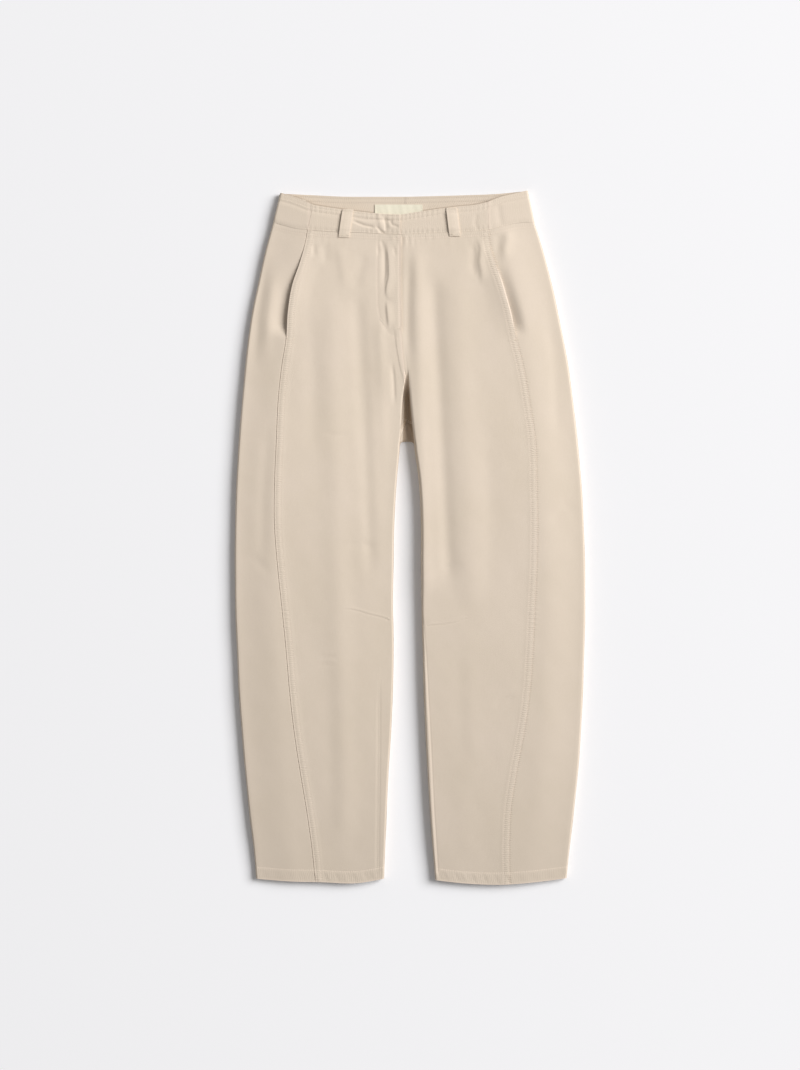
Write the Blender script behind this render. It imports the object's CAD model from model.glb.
import math
from collections import namedtuple

import bpy
import numpy as np
from bpy.props import FloatProperty, FloatVectorProperty, IntProperty, PointerProperty
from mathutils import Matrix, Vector
from mathutils.bvhtree import BVHTree


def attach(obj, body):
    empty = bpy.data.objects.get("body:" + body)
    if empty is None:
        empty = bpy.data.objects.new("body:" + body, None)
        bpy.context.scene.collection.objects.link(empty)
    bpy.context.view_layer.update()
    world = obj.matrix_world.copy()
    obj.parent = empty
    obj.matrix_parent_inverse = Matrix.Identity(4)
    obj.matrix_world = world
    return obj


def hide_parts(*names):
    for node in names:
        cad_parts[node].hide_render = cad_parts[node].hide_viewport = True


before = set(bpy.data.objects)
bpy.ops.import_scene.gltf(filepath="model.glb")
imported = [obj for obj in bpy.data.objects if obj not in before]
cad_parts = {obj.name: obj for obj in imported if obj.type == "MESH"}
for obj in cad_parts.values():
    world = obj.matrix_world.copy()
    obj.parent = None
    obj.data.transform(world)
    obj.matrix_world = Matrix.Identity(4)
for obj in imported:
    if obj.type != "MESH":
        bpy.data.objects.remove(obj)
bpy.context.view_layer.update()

bl_info = {
    "name": "Barrel leg trousers",
    "version": (1, 0, 0),
    "blender": (4, 5, 0),
    "location": "View3D > Sidebar > Trousers",
    "description": "Dresses the cut pieces of a pair of barrel leg trousers laid flat",
    "category": "Object",
}

# Tables and sizes are in millimetres and meshes in metres. The waist is towards +Y,
# the front faces +Z and the wearer's right leg lies towards -X.
MM = 0.001
SIDES = ("right", "left")

CLOTH = 1.1
BAND_CLOTH = 1.8
HEM_CLOTH = 2.0
SEAM_GAP = 0.3
SEAM_OPEN = {"right": 0.3, "left": 0.14}
BAND_STEP = 0.5
FLY_LAP = 0.8
FLY_WIDTH = 26.0
FLY_END = 300.0

HEM_LEVEL = -500.0
HEM_DEPTH = 17.0
HEM_CURVE_TOP = -400.0
HEM_CURVE_FADE = 60.0
LEG_TOP = 128.0
FOLD_LEVEL = 140.2
CROTCH_POINT = 168.8
BEND_TOP = 176.0
V_DEEP = 200.0
V_END = 248.0
LEGS_JOIN = (180.0, 256.0)
WAIST_RISE = (415.0, 449.0)

FOLD_REACH = 3.0
EDGE_SHARE = {"outer": 0.95, "right": 1.2, "left": 1.2}
ROLL_POWER = 2.6
CROTCH_FOLD_REACH = 3.0
CROTCH_FOLD_HEIGHT = 4.6
CHANNEL_HEIGHT = 4.2
CHANNEL_FOOT = 0.84
CHANNEL_WALL = 0.6
CENTRE_BACK = -4.5
OUTER_EASE = 60.0
INNER_EASE = {"right": 40.0, "left": 4.0}
INNER_START = {"right": 7.0, "left": 0.0}
BEND_SQUARENESS = 0.5

MOUTH_TOP = 428.0
MOUTH_END = 290.0
MOUTH_LIFT = 2.4
MOUTH_SINK = {"right": 5.6, "left": 3.8}
LIFT_REACH = 34.0
SINK_REACH = {"right": 30.0, "left": 19.0}
FACING_IN = 26.0
FACING_OUT = 9.0
FACING_CLOTH = 0.8

LOOP_WIDTH = 16.0
LOOP_CLOTH = 1.2
LOOP_STAND = 1.7
LABEL_SIZE = (70.0, 24.0, 0.6)
LABEL_TOP = 487.0
LABEL_X = -16.5
BACK_RISE = 1.7
UNDER_LIFT = 0.25

ROW_STEP = 3.0
BEND_ROWS = 18
BAND_ROWS = 34
SEAM_COLUMNS = (0.0, 0.5, 1.2, 2.0, 3.0, 4.0, 5.0, 6.0, 7.0, 8.0, 9.0, 10.0, 11.5, 13.0)
STRIP_SEAM_COLUMNS = (0.0, 0.5, 1.2, 2.0, 3.0, 4.5, 6.5)
PANEL_COLUMNS = 30
FLY_COLUMNS = 44
FLY_AREA = 50.0
EDGE_COLUMNS = 14
STRIP_COLUMNS = 16
FOLD_COLUMNS = 8
FLOOR_COLUMNS = 46
TONGUE_COLUMNS = 12

# Topstitching along the forward seams, the waistband and the hems
SEAM_ROWS = (1.9, 8.6)
ALLOWANCE = 10.5
ALLOWANCE_RISE = 0.35
BAND_ROWS_BELOW_TOP = (2.6, 8.6)
BAND_ROWS_ABOVE_SEAM = (1.8,)
PANEL_ROWS_BELOW_SEAM = (6.4,)

# Half outlines of both legs and the forward seams, seen from above
Leg = namedtuple("Leg", "level right_outer right_seam right_inner left_outer left_seam left_inner")
LEGS = [
    Leg(-500, -225.0, -138.2, -37.9, 228.9, 145.7, 36.8),
    Leg(-450, -229.4, -143.4, -36.0, 234.1, 145.2, 32.7),
    Leg(-400, -235.4, -150.4, -34.0, 239.7, 147.1, 29.1),
    Leg(-340, -241.4, -160.3, -31.1, 246.1, 156.1, 25.4),
    Leg(-280, -246.6, -169.3, -27.2, 250.3, 167.5, 22.3),
    Leg(-220, -250.8, -175.9, -24.9, 253.2, 175.5, 19.9),
    Leg(-160, -253.4, -181.0, -23.7, 255.1, 179.7, 18.5),
    Leg(-100, -255.8, -187.0, -24.8, 256.4, 182.5, 16.8),
    Leg(-40, -256.2, -193.2, -24.0, 255.9, 185.2, 16.1),
    Leg(20, -255.9, -197.6, -22.8, 254.1, 186.2, 16.0),
    Leg(80, -254.0, -197.4, -19.4, 250.8, 185.1, 13.0),
    Leg(140, -250.4, -194.9, -14.2, 245.2, 183.3, 5.2),
    Leg(200, -245.7, -192.1, -11.0, 238.6, 174.4, -0.6),
    Leg(250, -241.1, -186.9, -5.6, 231.7, 165.5, -3.6),
    Leg(290, -236.8, -180.7, -9.5, 224.5, 155.5, -9.5),
    Leg(330, -230.8, -178.0, -12.6, 216.3, 146.6, -12.6),
    Leg(370, -222.4, -171.2, -13.1, 207.7, 135.1, -13.1),
    Leg(400, -216.0, -161.1, -13.3, 200.0, 124.6, -13.3),
    Leg(430, -208.6, -152.8, -13.4, 191.6, 116.6, -13.4),
    Leg(460, -200.2, -147.6, -13.5, 181.9, 114.9, -13.5),
]

Centre = namedtuple("Centre", "level x")
CENTRE = [
    Centre(120, -4.4),
    Centre(170, -4.4),
    Centre(205, -3.0),
    Centre(225, -4.8),
    Centre(250, -8.0),
    Centre(290, -11.6),
    Centre(330, -12.6),
    Centre(450, -13.5),
]

Rise = namedtuple("Rise", "level fold crown")
HEIGHTS = [
    Rise(-500, 9.5, 11.5),
    Rise(-450, 11.5, 13.5),
    Rise(-300, 12.5, 15.5),
    Rise(-100, 13.0, 16.5),
    Rise(100, 13.0, 17.0),
    Rise(250, 13.0, 17.0),
    Rise(400, 12.5, 16.0),
    Rise(460, 11.8, 14.5),
    Rise(510, 11.5, 13.5),
]

Hem = namedtuple("Hem", "share right left")
HEM_LINE = [
    Hem(0.0, -498.6, -497.9),
    Hem(0.25, -502.0, -503.6),
    Hem(0.5, -503.2, -507.0),
    Hem(0.8, -504.5, -504.6),
    Hem(1.0, -498.3, -500.3),
]

Waist = namedtuple("Waist", "share right_seam right_top left_seam left_top")
WAIST_FRONT = [
    Waist(0.0, 448.7, 485.7, 448.9, 489.8),
    Waist(0.15, 447.0, 482.5, 446.9, 485.6),
    Waist(0.35, 445.5, 478.9, 445.4, 483.2),
    Waist(0.55, 444.8, 475.4, 444.6, 480.0),
    Waist(0.75, 443.4, 472.8, 443.6, 476.3),
    Waist(1.0, 442.0, 471.2, 442.0, 471.2),
]
WAIST_SIDE = [
    Waist(0.0, 459.5, 503.0, 460.0, 506.6),
    Waist(0.35, 454.4, 498.2, 458.8, 501.6),
    Waist(0.65, 450.9, 493.4, 454.6, 497.6),
    Waist(1.0, 448.7, 485.7, 448.9, 489.8),
]
WAIST_BACK = [
    Waist(0.0, 459.5, 503.0, 460.0, 506.6),
    Waist(0.25, 461.5, 500.8, 462.5, 502.6),
    Waist(0.5, 462.0, 498.7, 463.0, 500.9),
    Waist(0.75, 461.5, 498.6, 462.0, 499.6),
    Waist(1.0, 461.0, 498.6, 461.0, 498.6),
]
BAND_FOLD_X = {"right": -189.8, "left": 172.3}
BAND_SEAM_X = {"right": -141.2, "left": 113.2}

# Broad soft folds that the solids have too
Fold = namedtuple("Fold", "x0 y0 x1 y1 width height")
FOLDS = [
    Fold(-114, 310, -98, -400, 18, 1.3),
    Fold(-76, 330, -56, -30, 11, -1.3),
    Fold(-44, 300, -30, 70, 8, 0.8),
    Fold(9, 392, 21, -60, 12, 1.65),
    Fold(36, 350, 56, -40, 11, -1.6),
    Fold(68, 340, 88, -60, 20, 1.3),
    Fold(84, -150, 80, -450, 22, 0.5),
]

# Creases: a line drawn downwards, the widths on its +X and -X sides, and the height
Crease = namedtuple("Crease", "line left right height")
CREASES = [
    Crease([(-40, 431), (-34, 426), (-32, 413), (-31, 394), (-31, 380), (-34, 367),
            (-35, 358), (-33, 352), (-28, 349), (-27, 342)], 8.0, 1.1, 1.2),
    Crease([(-34, 346), (-33, 328), (-31, 310), (-27, 306)], 7.0, 1.6, 1.2),
    Crease([(-38, 434), (-36, 410), (-36, 385), (-39, 362)], 1.2, 4.5, -1.0),
    Crease([(-47, 426), (-45, 411)], 2.2, 2.2, -0.45),
    Crease([(-42, 435), (-39, 421)], 2.0, 2.0, -0.5),
    Crease([(-24, 425), (-21, 410)], 2.0, 2.0, -0.5),
    Crease([(-141, 430), (-139, 408)], 2.6, 2.6, -0.9),
    Crease([(-125, 432), (-122, 396)], 6.0, 6.0, -0.7),
    Crease([(-104, 430), (-98, 392), (-94, 362)], 9.0, 7.0, 0.7),
    Crease([(-66, 420), (-74, 388), (-80, 355)], 8.0, 10.0, -0.8),
    Crease([(98, 443), (103, 420), (101, 401), (104, 386), (104, 366)], 7.5, 1.7, 1.25),
    Crease([(90, 436), (94, 415), (93, 396), (97, 376)], 2.6, 7.0, -0.8),
    Crease([(140, 452), (141, 436), (138, 423), (136, 402)], 9.0, 3.6, 1.5),
    Crease([(128, 446), (129, 430), (127, 414)], 3.0, 4.0, -0.8),
    Crease([(126, 402), (136.5, 370), (148, 330), (155.5, 294)], 9.0, 1.5, -1.1),
    Crease([(0, 430), (-1, 380), (-3, 339), (-3, 299), (-1, 262), (0, 246)], 8.0, 7.0, -1.2),
    Crease([(-26, 258), (-23, 226), (-22, 192)], 1.8, 3.4, -0.8),
    Crease([(-32, 262), (-31, 226), (-30, 180)], 6.0, 6.0, 0.3),
    Crease([(-117, -150), (-114, -266), (-111, -470)], 14.0, 12.0, -0.5),
    Crease([(72, -130), (74, -237), (77, -350)], 12.0, 14.0, -0.5),
    Crease([(112, 200), (118, 26), (116, -110)], 18.0, 12.0, -0.6),
    Crease([(-146, 347), (-140, 230), (-142, 99)], 12.0, 12.0, -0.6),
    Crease([(-208, 420), (-222, 330), (-228, 240)], 7.0, 10.0, -1.1),
    Crease([(-196, 400), (-206, 330), (-210, 250)], 8.0, 8.0, 0.8),
    Crease([(-206, 180), (-214, 60), (-216, -60)], 10.0, 9.0, -0.8),
    Crease([(200, 350), (212, 250), (216, 130)], 10.0, 8.0, -0.6),
    Crease([(-131, 154), (-105, 148), (-84, 152)], 4.0, 4.0, -0.3),
    Crease([(-136, -176), (-118, -173), (-102, -177)], 2.6, 2.6, -0.35),
    Crease([(-136, -187), (-116, -185), (-104, -188)], 2.2, 2.2, -0.3),
    Crease([(120, -250), (136, -236), (158, -232)], 5.0, 5.0, -0.4),
    Crease([(30, -60), (52, -44), (84, -40)], 6.0, 6.0, -0.4),
    Crease([(-48, -20), (-70, -8), (-96, -14)], 6.0, 6.0, -0.4),
    Crease([(-200, -60), (-226, -30), (-244, -34)], 7.0, 7.0, -0.4),
    Crease([(205, 20), (228, 44), (246, 42)], 7.0, 7.0, -0.4),
]
# Creases pressed into the waistband
BAND_CREASES = [
    Crease([(-86, 463), (-67, 455), (-50, 452)], 2.2, 1.6, -1.1),
    Crease([(-39, 470), (-36, 458), (-35, 446)], 4.0, 1.8, -1.1),
    Crease([(-50, 455), (-43, 447), (-36, 442)], 2.0, 2.0, -1.0),
    Crease([(-30, 464), (-26, 456), (-16, 453)], 2.0, 2.0, -0.8),
    Crease([(-84, 466), (-62, 464), (-40, 463), (-18, 462)], 1.4, 2.6, -0.5),
    Crease([(-46, 476), (-44, 462), (-42, 452)], 3.0, 3.0, 0.6),
    Crease([(98, 474), (95, 458), (100, 446)], 2.6, 2.6, -0.5),
    Crease([(128, 488), (130, 470), (134, 452)], 3.4, 3.4, -0.7),
]
# Creases on the back, which lies on the floor, so they only rise from it
BACK_CREASES = [
    Crease([(-60, 410), (-90, 330), (-96, 240)], 14.0, 10.0, 0.7),
    Crease([(60, 400), (86, 320), (88, 230)], 10.0, 14.0, 0.7),
    Crease([(-8, 210), (-40, 180), (-88, 170)], 6.0, 6.0, 0.8),
    Crease([(0, 212), (36, 184), (80, 168)], 6.0, 6.0, 0.8),
    Crease([(-140, 120), (-138, -120), (-128, -380)], 16.0, 14.0, 0.6),
    Crease([(128, 140), (132, -90), (120, -400)], 14.0, 16.0, 0.6),
    Crease([(-60, -120), (-100, -112), (-150, -122)], 5.0, 6.0, 0.5),
    Crease([(60, -130), (96, -118), (146, -126)], 6.0, 5.0, 0.5),
]
# Darts at the knees and the step where the back turns over the inner leg
DART_ENDS = [(-32.5, -119.5), (82.0, -118.0)]
DARTS = [
    [(-98, -104), (-87, -105), (-73, -108), (-61, -112), (-44, -116), (-34, -119)],
    [(19, -131), (33, -128), (51, -127), (66, -124), (80, -119)],
]
INSEAM_STEP = [(17, -104), (20, -128), (22, -153), (24, -180), (26, -215), (30, -291), (35, -392),
               (41, -488)]
INSEAM_ROWS = [
    [(-44, -190), (-44, -296), (-45, -383), (-46, -484)],
    [(-47, -200), (-47, -296), (-48, -383), (-49, -484)],
]
FLY_STITCH = [(-47, 441), (-48, 400), (-48, 361), (-47, 335), (-44, 319), (-38, 307), (-30, 297),
              (-19, 290)]
CROTCH_SEAM_RIGHT = [(-14, 303), (-12, 281), (-8.6, 254), (-6.6, 236), (-5.2, 216)]
CROTCH_CROSS_ROWS = [
    [(-14, 176.0), (-6, 172.6), (3, 168.0)],
    [(-14, 174.0), (-6, 170.6), (3, 166.0)],
]
CROTCH_SEAM_LEFT = [(-23, 303), (-20, 281), (-15.5, 254), (-12.4, 233), (-11, 205)]

Loop = namedtuple("Loop", "name bottom_x top_x bottom top")
FRONT_LOOPS = [
    Loop("belt_loop_front_right", -96.5, -90.5, 438.0, 479.0),
    Loop("belt_loop_front_left", 65.5, 60.5, 439.5, 481.0),
]
BACK_LOOPS = [
    Loop("belt_loop_back_right", -155.0, -152.0, 452.0, 499.0),
    Loop("belt_loop_back_left", 138.0, 135.0, 453.0, 499.5),
    Loop("belt_loop_back_centre", CENTRE_BACK, CENTRE_BACK, 452.0, 496.5),
]

# Flat cut of each sheet: width, length and area, in metres
Cut = namedtuple("Cut", "width length area")


def smooth(t):
    """Ease from 0 to 1 with level ends."""
    t = np.clip(t, 0.0, 1.0)
    return t * t * (3.0 - 2.0 * t)


def mix(a, b, t):
    return a + (b - a) * t


def reader(rows, column, key="level"):
    """A smooth curve through one column of a table."""
    at = np.array([getattr(r, key) for r in rows], float)
    value = np.array([getattr(r, column) for r in rows], float)
    slope = np.gradient(value, at)

    def read(x):
        x = np.clip(np.asarray(x, float), at[0], at[-1])
        i = np.clip(np.searchsorted(at, x) - 1, 0, len(at) - 2)
        step = at[i + 1] - at[i]
        t = (x - at[i]) / step
        low = value[i] * (1 + 2 * t) * (1 - t) ** 2 + slope[i] * step * t * (1 - t) ** 2
        high = value[i + 1] * t * t * (3 - 2 * t) - slope[i + 1] * step * t * t * (1 - t)
        return low + high

    return read


OUTER = {s: reader(LEGS, s + "_outer") for s in SIDES}
SEAM = {s: reader(LEGS, s + "_seam") for s in SIDES}
INNER = {s: reader(LEGS, s + "_inner") for s in SIDES}
FOLD_TOP = reader(HEIGHTS, "fold")
CROWN = reader(HEIGHTS, "crown")
CENTRE_X = reader(CENTRE, "x")
HEM_AT = {s: reader(HEM_LINE, s, "share") for s in SIDES}
WAIST_LINES = {
    (part, side, edge): reader(table, side + "_" + edge, "share")
    for part, table in (("front", WAIST_FRONT), ("side", WAIST_SIDE), ("back", WAIST_BACK))
    for side in SIDES
    for edge in ("seam", "top")
}


def inward(side):
    """Direction along X from the outer fold to the middle."""
    return 1.0 if side == "right" else -1.0


def distance_to_line(x, y, line):
    """Distance to a polyline, the side it lies on and the share along the line."""
    line = np.array(line, float)
    lengths = np.linalg.norm(np.diff(line, axis=0), axis=1)
    start = np.concatenate([[0.0], np.cumsum(lengths)])
    best = np.full(x.shape, 1e9)
    turned = np.zeros(x.shape)
    along = np.zeros(x.shape)
    for i, length in enumerate(lengths):
        dx, dy = (line[i + 1] - line[i]) / length
        rx = x - line[i, 0]
        ry = y - line[i, 1]
        t = np.clip(rx * dx + ry * dy, 0.0, length)
        away = np.hypot(rx - t * dx, ry - t * dy)
        near = away < best
        best = np.where(near, away, best)
        turned = np.where(near, np.sign(dx * ry - dy * rx), turned)
        along = np.where(near, (start[i] + t) / start[-1], along)
    return best, turned, along


def creased(x, y, creases, fade=0.3):
    """Sum of the creases at places on the cloth; each one dies out at both ends."""
    total = np.zeros(x.shape)
    for crease in creases:
        points = np.array(crease.line, float)
        reach = 3.0 * max(crease.left, crease.right)
        near = ((x > points[:, 0].min() - reach) & (x < points[:, 0].max() + reach)
                & (y > points[:, 1].min() - reach) & (y < points[:, 1].max() + reach))
        if not near.any():
            continue
        away, turned, along = distance_to_line(x[near], y[near], crease.line)
        width = np.where(turned > 0, crease.left, crease.right)
        ends = smooth(along / fade) * smooth((1.0 - along) / fade)
        total[near] += crease.height * np.exp(-((away / width) ** 2)) * ends
    return total


def ripple(x, y, seed, size):
    """Gentle unevenness from a few crossing waves, between -1 and 1."""
    rng = np.random.default_rng(seed)
    total = np.zeros(x.shape)
    for _ in range(5):
        angle = rng.uniform(0.0, math.pi)
        length = size * rng.uniform(0.7, 1.6)
        wave = 2.0 * math.pi / length
        total += np.sin(wave * (x * math.cos(angle) + y * math.sin(angle)) + rng.uniform(0, 6.3))
    return total / 5.0


def fold_height(x, y):
    """Sum of the broad folds at a place on the front."""
    total = np.zeros(np.shape(x))
    for f in FOLDS:
        dx = f.x1 - f.x0
        dy = f.y1 - f.y0
        t = ((x - f.x0) * dx + (y - f.y0) * dy) / (dx * dx + dy * dy)
        near = np.clip(t, 0.0, 1.0)
        away = np.hypot(x - f.x0 - near * dx, (y - f.y0 - near * dy) * 0.5)
        total = total + f.height * np.exp(-((away / f.width) ** 2))
    return total


def edge_top(edge, y):
    """Height of a folded edge: the outer one, or the inner one of a leg."""
    return FOLD_TOP(y) * EDGE_SHARE[edge]


def crown(side, x, y):
    """Height of the upper cloth away from the folded edges."""
    full = CROWN(y)
    from_outer = np.abs(x - OUTER[side](y)) - FOLD_REACH
    from_inner = np.abs(x - INNER[side](y)) - INNER_START[side]
    joined = smooth((y - LEGS_JOIN[0]) / (LEGS_JOIN[1] - LEGS_JOIN[0]))
    outer_share = smooth(from_outer / OUTER_EASE)
    inner_share = mix(smooth(from_inner / INNER_EASE[side]), 1.0, joined)
    sag = (full - edge_top("outer", y)) * (1.0 - outer_share)
    sag = sag + (full - edge_top(side, y)) * (1.0 - inner_share)
    return full - sag + fold_height(x, y) * outer_share * inner_share


def under(y):
    """Height of the underside, which the loops behind the waist hold off the floor."""
    return BACK_RISE * smooth((y - WAIST_RISE[0]) / (WAIST_RISE[1] - WAIST_RISE[0]))


# Rows of the grid, from the hem to the waistband

Row = namedtuple("Row", "kind step fraction")


def grid_rows():
    rows = [Row("hem", v, 0.0) for v in (0.0, 0.6, 2.0, 4.5, 7.5, 10.5, 13.5, 15.5, 17.0, 18.5)]
    low = HEM_LEVEL + 21.0
    for start, end, step in ((low, -134.0, ROW_STEP), (-134.0, -101.0, 1.1),
                             (-101.0, LEG_TOP, ROW_STEP)):
        count = round((end - start) / step)
        rows += [Row("leg", mix(start, end, i / count), 0.0) for i in range(count)]
    rows += [Row("leg", LEG_TOP, 0.0)]
    rows += [Row("bend", i, i / BEND_ROWS) for i in range(1, BEND_ROWS + 1)]
    torso = WAIST_FRONT[-1].right_seam
    for start, end, step in ((BEND_TOP, torso - 14.0, ROW_STEP), (torso - 14.0, torso, 1.2)):
        count = round((end - start) / step)
        rows += [Row("torso", mix(start, end, i / count), 0.0) for i in range(1, count + 1)]
    rows.pop()
    rows += [Row("waist", 0.0, 0.0)]
    rows += [Row("band", i, (i / BAND_ROWS) ** 1.0) for i in range(1, BAND_ROWS + 1)]
    return rows


def hem_sag(side, row, share):
    if row.kind == "hem":
        weight = 1.0
    elif row.kind == "leg":
        weight = smooth((HEM_CURVE_TOP - row.step) / HEM_CURVE_FADE)
    else:
        weight = 0.0
    return (HEM_AT[side](share) - HEM_LEVEL) * weight


def side_level(row):
    if row.kind == "hem":
        return HEM_LEVEL + row.step
    if row.kind == "leg":
        return row.step
    if row.kind == "bend":
        return mix(LEG_TOP, BEND_TOP, row.fraction)
    return BEND_TOP


def torso_share(row):
    if row.kind != "torso":
        return 1.0
    return (row.step - CROTCH_POINT) / (WAIST_FRONT[-1].right_seam - CROTCH_POINT)


def row_height(row, side, part, share, low):
    seam = WAIST_LINES[part, side, "seam"](share)
    if row.kind == "band":
        return mix(seam, WAIST_LINES[part, side, "top"](share), row.fraction)
    return mix(low, seam, torso_share(row))


def front_end(side, row):
    """Inner end of a front row: its place, its edge reach and how channelled it is."""
    if row.kind in ("hem", "leg"):
        level = side_level(row) + hem_sag(side, row, 1.0)
        return INNER[side](level), level, edge_top(side, level) / 2.0, 0.0, 0.0
    if row.kind == "bend":
        f = smooth(row.fraction)
        level = mix(LEG_TOP, CROTCH_POINT, row.fraction ** 0.8)
        x = mix(INNER[side](LEG_TOP), CENTRE_X(level), row.fraction ** 1.6)
        gap = abs(INNER[side](level) - x)
        return x, level, mix(edge_top(side, level) / 2.0, CHANNEL_HEIGHT, f), gap, f
    if row.kind == "torso":
        level = row.step
    else:
        level = row_height(row, side, "front", 1.0, 0.0)
    x = CENTRE_X(level)
    rise = smooth((level - V_DEEP) / (V_END - V_DEEP))
    top = 0.5 * (crown("right", x, level) + crown("left", x, level))
    height = mix(CHANNEL_HEIGHT, top, rise)
    return x, level, height, abs(INNER[side](level) - x), 1.0


def front_seam_place(side, row):
    """X and level of the forward seam in a row."""
    if row.kind in ("hem", "leg", "bend"):
        level = side_level(row)
        outer = OUTER[side](level)
        share = (SEAM[side](level) - outer) / (INNER[side](level) - outer)
        level = level + hem_sag(side, row, share)
        return SEAM[side](level), level
    level = row_height(row, side, "front", 0.0, BEND_TOP)
    if row.kind == "band":
        seam_level = row_height(Row("waist", 0, 0), side, "front", 0.0, BEND_TOP)
        return mix(SEAM[side](seam_level), BAND_SEAM_X[side], row.fraction), level
    return SEAM[side](level), level


def front_row(side, row):
    end_x, end_level, end_z, gap, channel = front_end(side, row)
    seam_x, seam_level = front_seam_place(side, row)
    direction = inward(side)
    reach = FOLD_REACH + gap

    def level_at(share):
        if row.kind in ("hem", "leg"):
            outer = OUTER[side](seam_level)
            across = mix((seam_x - outer) / (end_x - outer), 1.0, share)
            return side_level(row) + hem_sag(side, row, across)
        if row.kind == "bend":
            return mix(seam_level, end_level, smooth(share))
        low = mix(BEND_TOP, CROTCH_POINT, smooth(share))
        return row_height(row, side, "front", share, low)

    def place(x):
        share = (x - seam_x) / (end_x - seam_x)
        y = level_at(share)
        top = crown(side, x, y)
        from_end = np.abs(x - end_x)
        rest = 1.0 - np.minimum(1.0, from_end / reach)
        rolled = np.maximum(0.0, 1.0 - rest ** ROLL_POWER) ** (1.0 / ROLL_POWER)
        foot = CHANNEL_FOOT * gap
        channelled = smooth((from_end - foot) / (gap - foot + CHANNEL_WALL))
        z = end_z + (top - end_z) * mix(rolled, channelled, channel)
        return np.stack([x, y, np.where(from_end >= reach, top, z)], axis=-1)

    turn_x = end_x - direction * reach
    width = abs(turn_x - seam_x)
    near = np.array(SEAM_COLUMNS)
    panel = np.linspace(near[-1], width - FLY_AREA, PANEL_COLUMNS + 1)[1:]
    fly = np.linspace(width - FLY_AREA, width, FLY_COLUMNS + 1)[1:-1]
    main = place(seam_x + direction * np.concatenate([near, panel, fly]))
    angle = np.linspace(0.0, 0.5 * math.pi, 49)
    curve = place(end_x - direction * reach * np.cos(angle) ** 2)
    along = np.concatenate([[0.0], np.cumsum(np.linalg.norm(np.diff(curve, axis=0), axis=1))])
    at = np.linspace(0.0, along[-1], EDGE_COLUMNS + 1)
    edge = np.stack([np.interp(at, along, curve[:, k]) for k in range(3)], axis=-1)
    return np.concatenate([main, edge])


def bend_station(side, fraction):
    """Where the inner fold turns across the crotch: edge, reach, height and direction."""
    angle = 0.5 * math.pi * fraction
    along = math.sin(angle) ** BEND_SQUARENESS
    across = 1.0 - max(0.0, math.cos(angle)) ** BEND_SQUARENESS if fraction < 1.0 else 1.0
    level = mix(LEG_TOP, FOLD_LEVEL, along)
    x = mix(INNER[side](LEG_TOP), CENTRE_X(FOLD_LEVEL), across)
    reach = mix(FOLD_REACH, CROTCH_FOLD_REACH, smooth(fraction))
    rise = edge_top(side, LEG_TOP)
    height = mix(rise, CROTCH_FOLD_HEIGHT, 1.0 - (1.0 - fraction) ** 1.5) / 2.0
    direction = (-inward(side) * math.cos(angle), math.sin(angle))
    return (x, level), reach, height, direction


def fold_arc(edge, reach, direction, low, high, start, stop, count):
    """Points round a fold; the angle is 90 at the top, 0 at the edge and -90 below."""
    angle = np.radians(np.linspace(start, stop, count + 1))
    inset = reach * (1.0 - np.cos(angle))
    z = mix(low, high, 0.5 + 0.5 * np.sin(angle))
    return np.stack([edge[0] + direction[0] * inset, edge[1] + direction[1] * inset, z], axis=-1)


def centre_back_x(y):
    share = smooth((y - FOLD_LEVEL) / 120.0)
    return mix(CENTRE_X(FOLD_LEVEL), CENTRE_BACK, share)


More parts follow.
